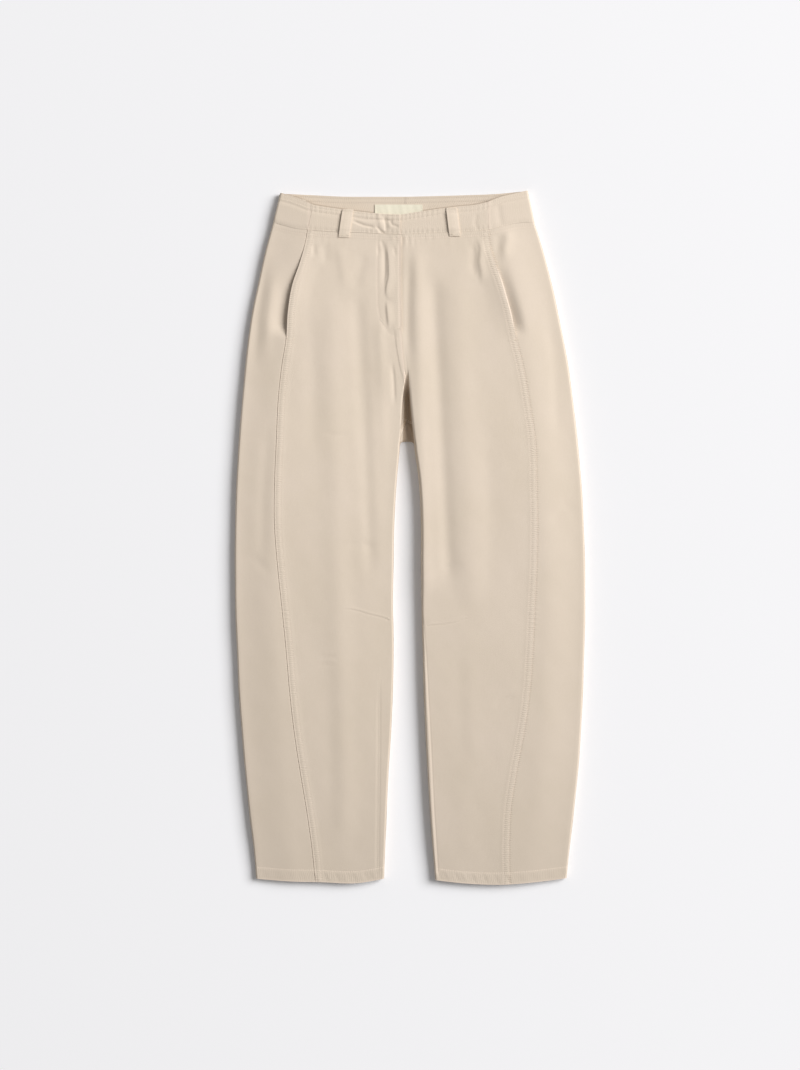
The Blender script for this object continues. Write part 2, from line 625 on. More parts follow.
def back_row(side, row, first):
    """Forward seam, round the outer fold, along the floor and up the inner fold."""
    direction = inward(side)
    seam_x, _ = front_seam_place(side, row)
    on_leg = row.kind in ("hem", "leg", "bend")
    if on_leg:
        fold_level = side_level(row) + hem_sag(side, row, 0.0)
        fold_x = OUTER[side](fold_level)
    else:
        fold_level = row_height(row, side, "side", 0.0, BEND_TOP)
        fold_x = OUTER[side](min(fold_level, 460.0))
        if row.kind == "band":
            fold_x = mix(fold_x, BAND_FOLD_X[side], row.fraction)
    arc = fold_arc((fold_x, fold_level), FOLD_REACH, (direction, 0.0), under(fold_level),
                   edge_top("outer", fold_level), 90, -90, 2 * FOLD_COLUMNS)
    start_x = fold_x + direction * FOLD_REACH
    width = abs(start_x - seam_x)
    near = np.array(STRIP_SEAM_COLUMNS)
    rest = np.linspace(near[-1], width, STRIP_COLUMNS + 1)[1:-1]
    away = np.concatenate([near, rest])[1:]
    share = away / width
    x = seam_x - direction * away
    if on_leg:
        across = (x - fold_x) / (INNER[side](fold_level) - fold_x)
        y = side_level(row) + hem_sag(side, row, across)
    else:
        y = row_height(row, side, "side", 1.0 - share, BEND_TOP)
    z = crown(side, x, y)
    if row.kind == "band":
        z = mix(first[2], edge_top("outer", y), share)
    strip = np.concatenate([[first], np.stack([x, y, z], axis=-1)])
    if row.kind in ("hem", "leg"):
        end_level = side_level(row) + hem_sag(side, row, 1.0)
        edge = (INNER[side](end_level), end_level)
        reach, half, turn = FOLD_REACH, edge_top(side, end_level) / 2.0, (-direction, 0.0)
    else:
        edge, reach, half, turn = bend_station(side, row.fraction if on_leg else 1.0)
    foot = (edge[0] + turn[0] * reach, edge[1] + turn[1] * reach)
    share = np.arange(1, FLOOR_COLUMNS + 1) / FLOOR_COLUMNS
    if row.kind in ("hem", "leg"):
        x = mix(start_x, foot[0], share)
        y = side_level(row) + hem_sag(side, row, (x - fold_x) / (edge[0] - fold_x))
        y = np.where(share == 1.0, foot[1], y)
    elif row.kind == "bend":
        x = mix(start_x, foot[0], share)
        y = mix(fold_level, foot[1], smooth(share))
    else:
        y = row_height(row, side, "back", share, mix(BEND_TOP, foot[1], smooth(share)))
        x = mix(start_x, centre_back_x(y), share)
    points = np.concatenate([strip, arc, np.stack([x, y, under(y)], axis=-1)])
    if on_leg:
        rise = fold_arc(edge, reach, turn, 0.0, 2 * half, -90, 0, FOLD_COLUMNS)
        points = np.concatenate([points, rise[1:], tongue(side, row, rise[-1])])
    return points


def tongue(side, row, start):
    """The back's point that turns up over the crotch fold to the front's end."""
    x, level, z, _, _ = front_end(side, row)
    end = np.array([x, level, z], float)
    t = (np.arange(1, TONGUE_COLUMNS + 1) / TONGUE_COLUMNS) ** 1.6
    swell = np.sqrt(1.0 - (1.0 - np.minimum(1.0, t / 0.25)) ** 2)
    points = start + (end - start) * t[:, None]
    points[:, 2] = mix(start[2], z, swell)
    points[-1] = end
    return points


class Skin:
    """Outer face of the garment: shared points, and faces listed by piece."""

    def __init__(self):
        self.places = []
        self.index = {}
        self.faces = {}
        self.across = {"front": {}, "back": {}}

    def point(self, place):
        key = (round(place[0], 2), round(place[1], 2), round(place[2], 2))
        if key not in self.index:
            self.index[key] = len(self.places)
            self.places.append(place)
        return self.index[key]

    def grid(self, layer, name_of, rows, side):
        """Join the rows of one side; name_of(row number) gives the piece."""
        ids = [[self.point(p) for p in row.tolist()] for row in rows]
        for row, line in zip(rows, ids):
            step = np.linalg.norm(np.diff(row, axis=0), axis=1)
            along = np.concatenate([[0.0], np.cumsum(step)])
            if layer == "front":
                along = along - along[-1]
            along = along * inward(side)
            self.across[layer].update(zip(line, along.tolist()))
        flip = (layer == "front") == (side == "left")
        for r in range(len(ids) - 1):
            low, high = ids[r], ids[r + 1]
            faces = self.faces.setdefault(name_of(r), [])
            for c in range(min(len(low), len(high)) - 1):
                ring = (low[c], low[c + 1], high[c + 1], high[c])
                if len(set(ring)) > 2:
                    faces.append(ring[::-1] if flip else ring)

    def finish(self):
        self.points = np.array(self.places, float)
        self.faces = {name: np.array(f) for name, f in self.faces.items()}
        self.normals = np.zeros(self.points.shape)
        for faces in self.faces.values():
            for i in range(4):
                here = self.points[faces[:, i]]
                before = self.points[faces[:, i - 1]] - here
                after = self.points[faces[:, (i + 1) % 4]] - here
                cross = np.cross(after, before)
                length = np.linalg.norm(cross, axis=1)
                angle = np.arctan2(length, (after * before).sum(axis=1))
                share = np.where(length > 1e-7, angle / np.maximum(length, 1e-7), 0.0)
                np.add.at(self.normals, faces[:, i], cross * share[:, None])
        self.normals /= np.maximum(1e-9, np.linalg.norm(self.normals, axis=1))[:, None]
        self.open = {name: self.open_edges(f) for name, f in self.faces.items()}
        count = len(self.points)
        every = np.concatenate(list(self.open.values()))
        self.rims = np.sort(every[:, 0] * count + every[:, 1])

    def open_edges(self, faces):
        """Directed edges of a piece that none of its other faces shares."""
        edges = np.concatenate([faces[:, [i, (i + 1) % 4]] for i in range(4)])
        edges = edges[edges[:, 0] != edges[:, 1]]
        count = len(self.points)
        forward = edges[:, 0] * count + edges[:, 1]
        backward = edges[:, 1] * count + edges[:, 0]
        return edges[~np.isin(forward, backward)]

    def seam_shift(self, name):
        """Moves a piece's seam edges back by half of what a seam is open."""
        count = len(self.points)
        edges = self.open[name]
        edges = edges[np.isin(edges[:, 1] * count + edges[:, 0], self.rims)]
        total = np.zeros(self.points.shape)
        seen = np.zeros(count)
        along = self.points[edges[:, 1]] - self.points[edges[:, 0]]
        for v in (edges[:, 0], edges[:, 1]):
            side = np.cross(self.normals[v], along)
            side /= np.maximum(1e-9, np.linalg.norm(side, axis=1))[:, None]
            np.add.at(total, v, side)
            np.add.at(seen, v, 1)
        length = (total ** 2).sum(axis=1)
        mitre = np.where(seen == 2, np.maximum(0.5, length / 2.0), 1.0)
        return total / mitre[:, None] * SEAM_OPEN.get(name.split("_")[-1], 0.2) / 2.0


_garment = []


def garment():
    """The shared skin, built once for all operators."""
    if _garment:
        return _garment[0]
    rows = grid_rows()
    skin = Skin()
    waist = [r.kind for r in rows].index("waist")
    for side in SIDES:
        fronts = [front_row(side, r) for r in rows]
        backs = [back_row(side, r, f[0]) for r, f in zip(rows, fronts)]

        def front_name(r, side=side):
            return ("waistband_front_" if r >= waist else "front_") + side

        def back_name(r, side=side):
            return "waistband_back" if r >= waist else "back_" + side

        skin.grid("front", front_name, fronts, side)
        skin.grid("back", back_name, backs, side)
    skin.finish()
    _garment.append(skin)
    return skin


# What the sewing and wear do to the surface of each piece

def from_seam(side, x, y):
    """Distance from the forward seam, positive on the front panel."""
    return (x - SEAM[side](y)) * inward(side)


def mouth_profile(y, top_fade):
    """How open the pocket mouth is along its length, most near its lower end."""
    t = (y - MOUTH_END) / (MOUTH_TOP - MOUTH_END)
    return smooth(t / 0.16) * smooth((1.0 - t) / top_fade)


def mouth_sink(side, x, y):
    away = np.abs(from_seam(side, x, y))
    return MOUTH_SINK[side] * mouth_profile(y, 0.85) * (1.0 - smooth(away / SINK_REACH[side]))


def mouth_lift(side, x, y):
    away = np.abs(from_seam(side, x, y))
    t = np.clip((y - MOUTH_END) / (MOUTH_TOP - MOUTH_END), 0.0, 1.0)
    return MOUTH_LIFT * np.sin(math.pi * t) * (1.0 - smooth(away / LIFT_REACH))


def waist_gap(side, x, y, part):
    """Distance of a place below the waistband's seam."""
    if part == "front":
        share = (x - SEAM[side](448.0)) / (CENTRE_X(445.0) - SEAM[side](448.0))
    else:
        share = (x - OUTER[side](455.0)) / (SEAM[side](448.0) - OUTER[side](455.0))
    return WAIST_LINES[part, side, "seam"](np.clip(share, 0.0, 1.0)) - y


def grooved(distance, rows, depth, width=1.1):
    """Narrow valleys where the stitching pulls the cloth down."""
    total = np.zeros(np.shape(distance))
    for at in rows:
        total = total - depth * np.exp(-(((distance - at) / width) ** 2))
    return total


def hem_relief(y_above, x, seed):
    """Turned hem: a thicker edge with slanted puckers below the stitching."""
    inside = smooth((HEM_DEPTH + 3.0 - y_above) / 3.0)
    slant = x + 0.5 * y_above
    swing = np.sin(2.0 * math.pi * slant / 19.0 + 1.3 * np.sin(slant / 23.0 + seed))
    swing = swing + 0.5 * np.sin(2.0 * math.pi * slant / 8.3 + seed)
    middle = np.sin(math.pi * np.clip(y_above / HEM_DEPTH, 0.0, 1.0))
    return (inside * (0.25 + 0.16 * swing * middle)
            + grooved(y_above, (HEM_DEPTH,), 0.32, 1.5))


def hem_height(side, x, y):
    """Distance of a place above the hem line."""
    share = (x - OUTER[side](y)) / (INNER[side](y) - OUTER[side](y))
    return y - HEM_AT[side](np.clip(share, 0.0, 1.0))


def leg_relief(side, x, y):
    """Creases and unevenness that the front and the side panels share."""
    soft = 0.28 * ripple(x, y, 11, 95.0) + 0.12 * ripple(x, y, 23, 34.0)
    fade = smooth((447.0 - y) / 18.0)
    return creased(x, y, CREASES) + soft * fade + hem_relief(hem_height(side, x, y), x, 0.4)


def front_relief(side, points, normals):
    x, y = points[:, 0], points[:, 1]
    away = from_seam(side, x, y)
    gap = waist_gap(side, x, y, "front")
    relief = leg_relief(side, x, y)
    relief += ALLOWANCE_RISE * smooth((ALLOWANCE + 4.0 - away) / 7.0)
    relief += grooved(away, SEAM_ROWS, 0.22)
    relief -= 0.12 * smooth((0.8 - away) / 0.8)
    pulls = np.sin(2.0 * math.pi * y / 7.4 + 2.0 * np.sin(y / 19.0))
    relief += 0.12 * pulls * smooth((11.0 - away) / 5.0)
    relief += mouth_lift(side, x, y)
    relief += 0.45 * smooth((9.0 - gap) / 2.5) + grooved(gap, PANEL_ROWS_BELOW_SEAM, 0.3)
    pulls = np.sin(2.0 * math.pi * x / 11.0 + 2.6 * np.sin(x / 17.0)) * ripple(x, y, 5, 50.0)
    relief += 0.3 * pulls * smooth((26.0 - gap) / 20.0) * smooth(gap / 6.0)
    from_centre = np.abs(x - CENTRE_X(y))
    lap = smooth((y - FLY_END + 6.0) / 12.0)
    if side == "right":
        relief += FLY_LAP * lap * smooth(1.0 - from_centre / FLY_WIDTH)
        relief += grooved(from_centre, (2.6,), 0.2) * lap
        felled = smooth((FLY_END + 4.0 - y) / 8.0) * smooth((y - 196.0) / 16.0)
        width = mix(4.5, 10.0, smooth((y - 210.0) / 80.0))
        relief += felled * 0.5 * smooth((width - from_centre) / 1.6)
        stitched = distance_to_line(x, y, FLY_STITCH)[0]
        relief -= 0.16 * np.exp(-((stitched / 1.4) ** 2))
        relief += 0.12 * smooth((stitched - 0.5) / 2.0) * lap * smooth((36.0 - from_centre) / 8.0)
    else:
        relief -= 0.5 * np.exp(-((from_centre / 3.2) ** 2)) * lap
    for dart in DARTS:
        off, turned, along = distance_to_line(x, y, dart)
        ends = smooth(along / 0.2)
        relief -= 0.34 * np.exp(-((off / 0.9) ** 2)) * ends
        relief += 0.2 * np.exp(-(((off * turned - 2.2) / 1.8) ** 2)) * ends
    for end_x, end_y in DART_ENDS:
        relief -= 0.6 * np.exp(-(((x - end_x) ** 2 + (y - end_y) ** 2) / 2.2))
    if side == "left":
        off, turned, along = distance_to_line(x, y, INSEAM_STEP)
        ends = smooth(along / 0.12)
        relief -= 0.5 * np.exp(-((off / 1.0) ** 2)) * ends
        relief += 0.28 * smooth((off * -turned + 0.3) / 1.2) * ends * smooth((12.0 - off) / 4.0)
    else:
        for line in INSEAM_ROWS:
            off, _, along = distance_to_line(x, y, line)
            relief -= 0.35 * np.exp(-((off / 1.2) ** 2)) * smooth(along / 0.2)
    return relief * np.clip(normals[:, 2] * 1.3, 0.0, 1.0)


def back_relief(side, points, normals):
    x, y, z = points.T
    top = np.clip(normals[:, 2] * 1.3, 0.0, 1.0)
    away = -from_seam(side, x, y)
    gap = waist_gap(side, x, y, "side")
    upper = leg_relief(side, x, y) - mouth_sink(side, x, y)
    upper -= (0.3 if side == "right" else 0.15) * smooth((1.6 - away) / 1.6)
    upper += 0.10 * np.sin(2.0 * math.pi * y / 7.4 + np.sin(y / 31.0)) * smooth((7.0 - away) / 5.0)
    upper += 0.4 * smooth((9.0 - gap) / 2.5) + grooved(gap, PANEL_ROWS_BELOW_SEAM, 0.3)
    low = np.clip(-normals[:, 2] * 1.3, 0.0, 1.0)
    soft = 0.2 + 0.2 * ripple(x, y, 31, 70.0)
    centre = np.abs(x - centre_back_x(y))
    sewn = 0.5 * np.exp(-((centre / 1.2) ** 2)) * smooth((y - 150.0) / 20.0)
    lower = UNDER_LIFT + soft + creased(x, y, BACK_CREASES) + sewn
    lower += 0.3 * np.exp(-(((hem_height(side, x, y) - HEM_DEPTH) / 1.5) ** 2))
    edge = np.clip(1.0 - np.abs(normals[:, 2]) * 1.3, 0.0, 1.0)
    outline = 0.35 * ripple(y * 0.4, y, 47, 60.0) * edge
    return upper * top - lower * low + outline


def band_relief(side, points, normals):
    x, y = points[:, 0], points[:, 1]
    part = "front" if side in SIDES else "side"
    sides = [side] if side in SIDES else list(SIDES)
    relief = np.zeros(x.shape)
    for s in sides:
        here = np.ones(x.shape) if side in SIDES else (x < 0) == (s == "right")
        gap = -waist_gap(s, x, y, part)
        share = (x - SEAM[s](448.0)) / (CENTRE_X(445.0) - SEAM[s](448.0))
        if part == "side":
            share = (x - OUTER[s](455.0)) / (SEAM[s](448.0) - OUTER[s](455.0))
        drop = WAIST_LINES[part, s, "top"](np.clip(share, 0.0, 1.0)) - y
        sewn = grooved(drop, BAND_ROWS_BELOW_TOP, 0.32) + grooved(gap, BAND_ROWS_ABOVE_SEAM, 0.3)
        puff = 0.35 * smooth((drop - 9.0) / 6.0) * smooth((gap - 2.0) / 6.0)
        rounded = -0.35 * smooth((1.2 - drop) / 1.2) - 0.3 * smooth((0.8 - gap) / 0.8)
        pulls = np.sin(2.0 * math.pi * x / 6.8 + 1.9 * np.sin(x / 13.0))
        sewn += 0.12 * pulls * (smooth((13.0 - drop) / 5.0) + smooth((9.0 - gap) / 4.0))
        relief += (sewn + puff + rounded) * here
    relief += creased(x, y, BAND_CREASES, 0.22)
    fly = 0.0
    if side == "right":
        fly = FLY_LAP * smooth(1.0 - (CENTRE_X(y) - x) / FLY_WIDTH)
    top = np.clip(normals[:, 2] * 1.3, 0.0, 1.0)
    return BAND_STEP * smooth(normals[:, 2] + 0.4) + (relief + fly) * top


def leg_cloth(points):
    """Wall of a leg piece, doubled where the hem is turned up."""
    return mix(HEM_CLOTH, CLOTH, smooth((points[:, 1] - HEM_LEVEL - HEM_DEPTH + 1.0) / 3.0))


def near(distance, reach):
    return 1.0 - smooth(np.abs(distance) / reach)


LEG_PIECES = ("front_right", "front_left", "back_right", "back_left")


def in_hollow(side, x, y):
    """Share of the deep narrow channel between the tops of the legs."""
    gap = np.abs(INNER[side](y) - CENTRE_X(y))
    floor = gap * 0.6 if side == "right" else gap + 0.6
    away = np.abs(x - CENTRE_X(y))
    inside = smooth((floor + 0.9 - away) / 1.5)
    return inside * smooth((232.0 - y) / 26.0) * smooth((y - FOLD_LEVEL + 14.0) / 14.0)


def back_band_drop(x, y):
    """Distance below the top edge of the back of the waistband."""
    drop = np.zeros(x.shape)
    for s in SIDES:
        here = (x < CENTRE_BACK) == (s == "right")
        share = (x - BAND_FOLD_X[s]) / (CENTRE_BACK - BAND_FOLD_X[s])
        drop = np.where(here, WAIST_LINES["back", s, "top"](np.clip(share, 0.0, 1.0)) - y, drop)
    return drop


def above_front_band(x, y):
    """Distance above the top edge of the front of the waistband."""
    gap = np.zeros(x.shape)
    for s in SIDES:
        here = (x < CENTRE_X(470.0)) == (s == "right")
        share = (x - BAND_SEAM_X[s]) / (CENTRE_X(470.0) - BAND_SEAM_X[s])
        top = WAIST_LINES["front", s, "top"](np.clip(share, 0.0, 1.0))
        outer = (x - BAND_FOLD_X[s]) / (BAND_SEAM_X[s] - BAND_FOLD_X[s])
        side_top = WAIST_LINES["side", s, "top"](np.clip(outer, 0.0, 1.0))
        gap = np.where(here, y - np.where(share < 0.0, side_top, top), gap)
    return gap


def worn_and_puckered(name, x, y, normals):
    """Masks for the finish: worn edges, and fine puckers down and across the cloth."""
    side = name.split("_")[-1]
    down = np.zeros(x.shape)
    across = np.zeros(x.shape)
    worn = np.zeros(x.shape)
    if name.startswith("waistband"):
        across += 0.13
        worn += 0.05
        for s in SIDES:
            worn = np.maximum(worn, 0.8 * near(from_seam(s, x, y), 4.0))
        if name == "waistband_front_right":
            worn = np.maximum(worn, near(x - CENTRE_X(y), 3.0))
        return down, across, worn
    away = from_seam(side, x, y)
    if name.startswith("front"):
        down = np.maximum(down, 0.55 * smooth((12.0 - away) / 4.0))
        worn = np.maximum(worn, 0.55 * smooth((3.0 - away) / 2.0))
        worn = np.maximum(worn, 0.3 * near(away - 9.0, 3.0))
        centre = np.abs(x - CENTRE_X(y))
        if side == "right":
            lap = smooth((y - 205.0) / 20.0)
            worn = np.maximum(worn, lap * smooth((4.6 - centre) / 2.0))
            down = np.maximum(down, 0.16 * lap * smooth((12.0 - centre) / 4.0))
            stitched = distance_to_line(x, y, FLY_STITCH)[0]
            worn = np.maximum(worn, 0.5 * near(stitched, 3.0))
        else:
            off = distance_to_line(x, y, INSEAM_STEP)[0]
            worn = np.maximum(worn, 0.4 * near(off - 2.0, 2.0))
    else:
        down = np.maximum(down, 0.6 * smooth((5.0 + away) / 4.0) * (normals[:, 2] > 0.2))
        worn = np.maximum(worn, 0.12 * near(np.abs(normals[:, 2]), 0.5))
    hem = hem_height(side, x, y)
    across = np.maximum(across, 0.3 * smooth((HEM_DEPTH + 3.0 - hem) / 3.0))
    worn = np.maximum(worn, 0.9 * smooth((2.4 - hem) / 2.4))
    worn = np.maximum(worn, 0.4 * near(hem - HEM_DEPTH, 2.0))
    part = "front" if name.startswith("front") else "side"
    gap = waist_gap(side, x, y, part)
    across = np.maximum(across, 0.26 * smooth((9.0 - gap) / 4.0))
    worn = np.maximum(worn, 0.4 * near(gap - 6.4, 2.5))
    return down, across, worn


# Meshes and objects

def store(mesh, name, values):
    layer = mesh.attributes.new(name=name, type="FLOAT", domain="POINT")
    layer.data.foreach_set("value", np.asarray(values, np.float32))


def finish_piece(obj, node):
    """Every piece rides on the one body and stands for its solid."""
    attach(obj, "root")
    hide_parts(node)
    return obj


def make_object(name, points, faces, material, uv=None, masks=None):
    mesh = bpy.data.meshes.new(name)
    mesh.from_pydata(np.asarray(points, float) * MM, [], faces)
    if uv is not None:
        corners = np.empty(len(mesh.loops), np.int32)
        mesh.loops.foreach_get("vertex_index", corners)
        layer = mesh.uv_layers.new(name="cloth")
        layer.data.foreach_set("uv", (np.asarray(uv, np.float32)[corners] * MM).ravel())
    for key, values in (masks or {}).items():
        store(mesh, key, values)
    mesh.materials.append(material)
    mesh.shade_smooth()
    mesh.set_sharp_from_angle(angle=math.radians(48.0))
    obj = bpy.data.objects.new(name, mesh)
    bpy.context.scene.collection.objects.link(obj)
    return obj


def clean_rings(faces):
    """Faces as lists, with the repeated corner of a closed-up face left out."""
    rings = []
    for ring in faces.tolist():
        kept = [v for i, v in enumerate(ring) if v != ring[i - 1]]
        if len(set(kept)) > 2:
            rings.append(kept)
    return rings


def cloth_piece(name, lift, thickness, material):
    """One cut piece as a thin closed wall with its outer face on the skin."""
    skin = garment()
    faces = skin.faces[name]
    used = np.unique(faces)
    place = skin.points[used]
    normal = skin.normals[used]
    outer = place + skin.seam_shift(name)[used] + normal * lift(place, normal)[:, None]
    wall = thickness(place)
    inner = outer - normal * np.asarray(wall)[:, None]
    number = np.full(len(skin.points), -1)
    number[used] = np.arange(len(used))
    count = len(used)
    upper = number[faces]
    rings = clean_rings(upper)
    rings += clean_rings(upper[:, ::-1] + count)
    rim = number[skin.open[name]]
    rings += [[b, a, a + count, b + count] for a, b in rim.tolist()]
    layer = "front" if "front" in name else "back"
    across = np.array([skin.across[layer][v] for v in used.tolist()])
    uv = np.stack([across, place[:, 1]], axis=-1)
    down, sideways, worn = worn_and_puckered(name, place[:, 0], place[:, 1], normal)
    quiet = np.zeros(count)
    upright = smooth((0.8 - normal[:, 2]) / 0.5) * smooth((normal[:, 2] + 0.5) / 0.3)
    upright = upright * smooth(normal[:, 0] * 2.5)
    hollow, inside = 0.45 * upright, quiet
    if name in LEG_PIECES:
        deep = in_hollow(name.split("_")[-1], place[:, 0], place[:, 1])
        deep = deep * np.clip(normal[:, 2] * 2.0 + 1.0, 0.0, 1.0)
        hollow = np.maximum(hollow, deep * (1.0 if name.startswith("front") else 0.8))
        worn = worn * (1.0 - hollow)
    if name == "back_right":
        line = near(from_seam("right", place[:, 0], place[:, 1]), 1.0)
        hollow = np.maximum(hollow, 0.55 * line * smooth(normal[:, 2] * 2.0))
    if name == "waistband_back":
        drop = back_band_drop(place[:, 0], place[:, 1])
        for at in BAND_ROWS_BELOW_TOP:
            inside = np.maximum(inside, 0.3 * near(drop - at, 1.4))
        gap = above_front_band(place[:, 0], place[:, 1])
        inside = np.maximum(inside, 0.75 * near(gap - 0.9, 2.6))
    lining = sideways * 2.2 if name.startswith("waistband") else quiet
    masks = {
        "pucker_down": np.concatenate([down, quiet]),
        "pucker_across": np.concatenate([sideways, lining]),
        "worn": np.concatenate([worn, quiet]),
        "hollow": np.concatenate([hollow, inside]),
    }
    return make_object("twill_" + name, np.concatenate([outer, inner]), rings, material,
                       np.concatenate([uv, uv]), masks)


def slab(name, rows, thickness, material, hollow=0.0):
    """A closed piece from a grid of upper points, with its thickness straight down."""
    rows = np.asarray(rows, float)
    lines, count = rows.shape[:2]
    upper = rows.reshape(-1, 3)
    lower = upper - [0.0, 0.0, thickness]
    total = len(upper)
    rings = []
    for r in range(lines - 1):
        for c in range(count - 1):
            a = r * count + c
            rings.append([a, a + 1, a + 1 + count, a + count])
            rings.append([a + count + total, a + 1 + count + total, a + 1 + total, a + total])
    rim = list(range(count)) + [r * count + count - 1 for r in range(1, lines)]
    rim += [(lines - 1) * count + c for c in range(count - 2, -1, -1)]
    rim += [r * count for r in range(lines - 2, 0, -1)]
    for i, a in enumerate(rim):
        b = rim[(i + 1) % len(rim)]
        rings.append([b, a, a + total, b + total])
    uv = np.concatenate([upper[:, :2], upper[:, :2]])
    worn = np.zeros((lines, count))
    worn[:, [0, 1, -2, -1]] = 0.3
    worn = np.concatenate([worn.ravel(), worn.ravel()])
    masks = {"worn": worn, "pucker_down": worn * 0.5, "pucker_across": worn * 0.0,
             "hollow": np.full(len(worn), hollow)}
    return make_object(name, np.concatenate([upper, lower]), rings, material, uv, masks)


def surface_under(objects, x, y, from_below=False):
    """Height of the cloth at a place, and the way it faces."""
    best = None
    for tree in objects:
        start = Vector((x * MM, y * MM, -0.05 if from_below else 0.05))
        hit = tree.ray_cast(start, Vector((0.0, 0.0, 1.0 if from_below else -1.0)))
        if hit[0] is None:
            continue
        z = hit[0].z / MM
        if best is None or (z < best if from_below else z > best):
            best = z
    return best


# Finishes

def new_material(name):
    material = bpy.data.materials.new(name)
    material.use_nodes = True
    return material, material.node_tree, material.node_tree.nodes["Principled BSDF"]


def node(tree, kind, **settings):
    made = tree.nodes.new(kind)
    for key, value in settings.items():
        setattr(made, key, value)
    return made


def math_node(tree, operation, first, second=None, clamp=False):
    made = node(tree, "ShaderNodeMath", operation=operation, use_clamp=clamp)
    for socket, value in zip(made.inputs, (first, second)):
        if value is None:
            continue
        if isinstance(value, (int, float)):
            socket.default_value = value
        else:
            tree.links.new(value, socket)
    return made.outputs[0]


def group_with(name, inputs, outputs):
    """A shader node group with named float or vector sockets."""
    tree = bpy.data.node_groups.new(name, "ShaderNodeTree")
    for title, kind, value in inputs:
        socket = tree.interface.new_socket(name=title, in_out="INPUT", socket_type=kind)
        if value is not None:
            socket.default_value = value
    for title, kind in outputs:
        tree.interface.new_socket(name=title, in_out="OUTPUT", socket_type=kind)
    return tree, tree.nodes.new("NodeGroupInput"), tree.nodes.new("NodeGroupOutput")


def twill_group():
    """Slanting ribs of a twill, with yarns of uneven thickness along the warp."""
    if "twill weave" in bpy.data.node_groups:
        return bpy.data.node_groups["twill weave"]
    tree, given, out = group_with(
        "twill weave",
        [("Place", "NodeSocketVector", None), ("Rib Pitch", "NodeSocketFloat", 0.0009)],
        [("Height", "NodeSocketFloat"), ("Slub", "NodeSocketFloat")],
    )
    split = node(tree, "ShaderNodeSeparateXYZ")
    tree.links.new(given.outputs["Place"], split.inputs[0])
    slant = math_node(tree, "ADD", split.outputs[0],
                      math_node(tree, "MULTIPLY", split.outputs[1], 0.58))
    turns = math_node(tree, "DIVIDE", slant, given.outputs["Rib Pitch"])
    rib = math_node(tree, "SINE", math_node(tree, "MULTIPLY", turns, 2.0 * math.pi))
    warp = math_node(tree, "DIVIDE", split.outputs[0], given.outputs["Rib Pitch"])
    yarn = math_node(tree, "SINE", math_node(tree, "MULTIPLY", warp, 4.0 * math.pi))
    stretch = node(tree, "ShaderNodeMapping")
    stretch.inputs["Scale"].default_value = (1.0, 0.07, 1.0)
    tree.links.new(given.outputs["Place"], stretch.inputs["Vector"])
    slub = node(tree, "ShaderNodeTexNoise")
    slub.inputs["Scale"].default_value = 900.0
    slub.inputs["Detail"].default_value = 3.0
    tree.links.new(stretch.outputs[0], slub.inputs["Vector"])
    height = math_node(tree, "ADD", rib, math_node(tree, "MULTIPLY", yarn, 0.35))
    height = math_node(tree, "ADD", height,
                       math_node(tree, "MULTIPLY", slub.outputs["Fac"], 1.6))
    tree.links.new(math_node(tree, "MULTIPLY", height, 0.3), out.inputs["Height"])
    tree.links.new(slub.outputs["Fac"], out.inputs["Slub"])
    return tree


def mottle_group():
    """Uneven dye: broad clouds and a fine washed grain."""
    if "washed mottle" in bpy.data.node_groups:
        return bpy.data.node_groups["washed mottle"]
    tree, given, out = group_with(
        "washed mottle",
        [("Place", "NodeSocketVector", None), ("Cloud Scale", "NodeSocketFloat", 9.0)],
        [("Cloud", "NodeSocketFloat"), ("Grain", "NodeSocketFloat")],
    )
    cloud = node(tree, "ShaderNodeTexNoise")
    cloud.inputs["Detail"].default_value = 4.0
    cloud.inputs["Roughness"].default_value = 0.55
    tree.links.new(given.outputs["Place"], cloud.inputs["Vector"])
    tree.links.new(given.outputs["Cloud Scale"], cloud.inputs["Scale"])
    grain = node(tree, "ShaderNodeTexNoise")
    grain.inputs["Scale"].default_value = 420.0
    grain.inputs["Detail"].default_value = 2.0
    tree.links.new(given.outputs["Place"], grain.inputs["Vector"])
    tree.links.new(cloud.outputs["Fac"], out.inputs["Cloud"])
    tree.links.new(grain.outputs["Fac"], out.inputs["Grain"])
    return tree


def pucker_group():
    """Fine gathers that the sewing thread draws in, as waves across the seam."""
    if "stitched puckers" in bpy.data.node_groups:
        return bpy.data.node_groups["stitched puckers"]
    tree, given, out = group_with(
        "stitched puckers",
        [("Along", "NodeSocketFloat", 0.0), ("Pitch", "NodeSocketFloat", 0.0031),
         ("Place", "NodeSocketVector", None)],
        [("Height", "NodeSocketFloat")],
    )
    drift = node(tree, "ShaderNodeTexNoise")
    drift.inputs["Scale"].default_value = 60.0
    tree.links.new(given.outputs["Place"], drift.inputs["Vector"])
    turns = math_node(tree, "DIVIDE", given.outputs["Along"], given.outputs["Pitch"])
    turns = math_node(tree, "ADD", turns, math_node(tree, "MULTIPLY", drift.outputs["Fac"], 2.4))
    wave = math_node(tree, "SINE", math_node(tree, "MULTIPLY", turns, 2.0 * math.pi))
    amount = math_node(tree, "MULTIPLY", wave, drift.outputs["Fac"])
    tree.links.new(amount, out.inputs["Height"])
    return tree


def use_group(tree, group, **inputs):
    made = node(tree, "ShaderNodeGroup", node_tree=group)
    for key, value in inputs.items():
        socket = made.inputs[key.replace("_", " ")]
        if isinstance(value, (int, float)):
            socket.default_value = value
        else:
            tree.links.new(value, socket)
    return made


def mixed_colour(tree, factor, first, second):
    made = node(tree, "ShaderNodeMix", data_type="RGBA")
    tree.links.new(factor, made.inputs[0])
    for socket, value in ((made.inputs[6], first), (made.inputs[7], second)):
        if isinstance(value, tuple):
            socket.default_value = (*value, 1.0)
        else:
            tree.links.new(value, socket)
    return made.outputs[2]


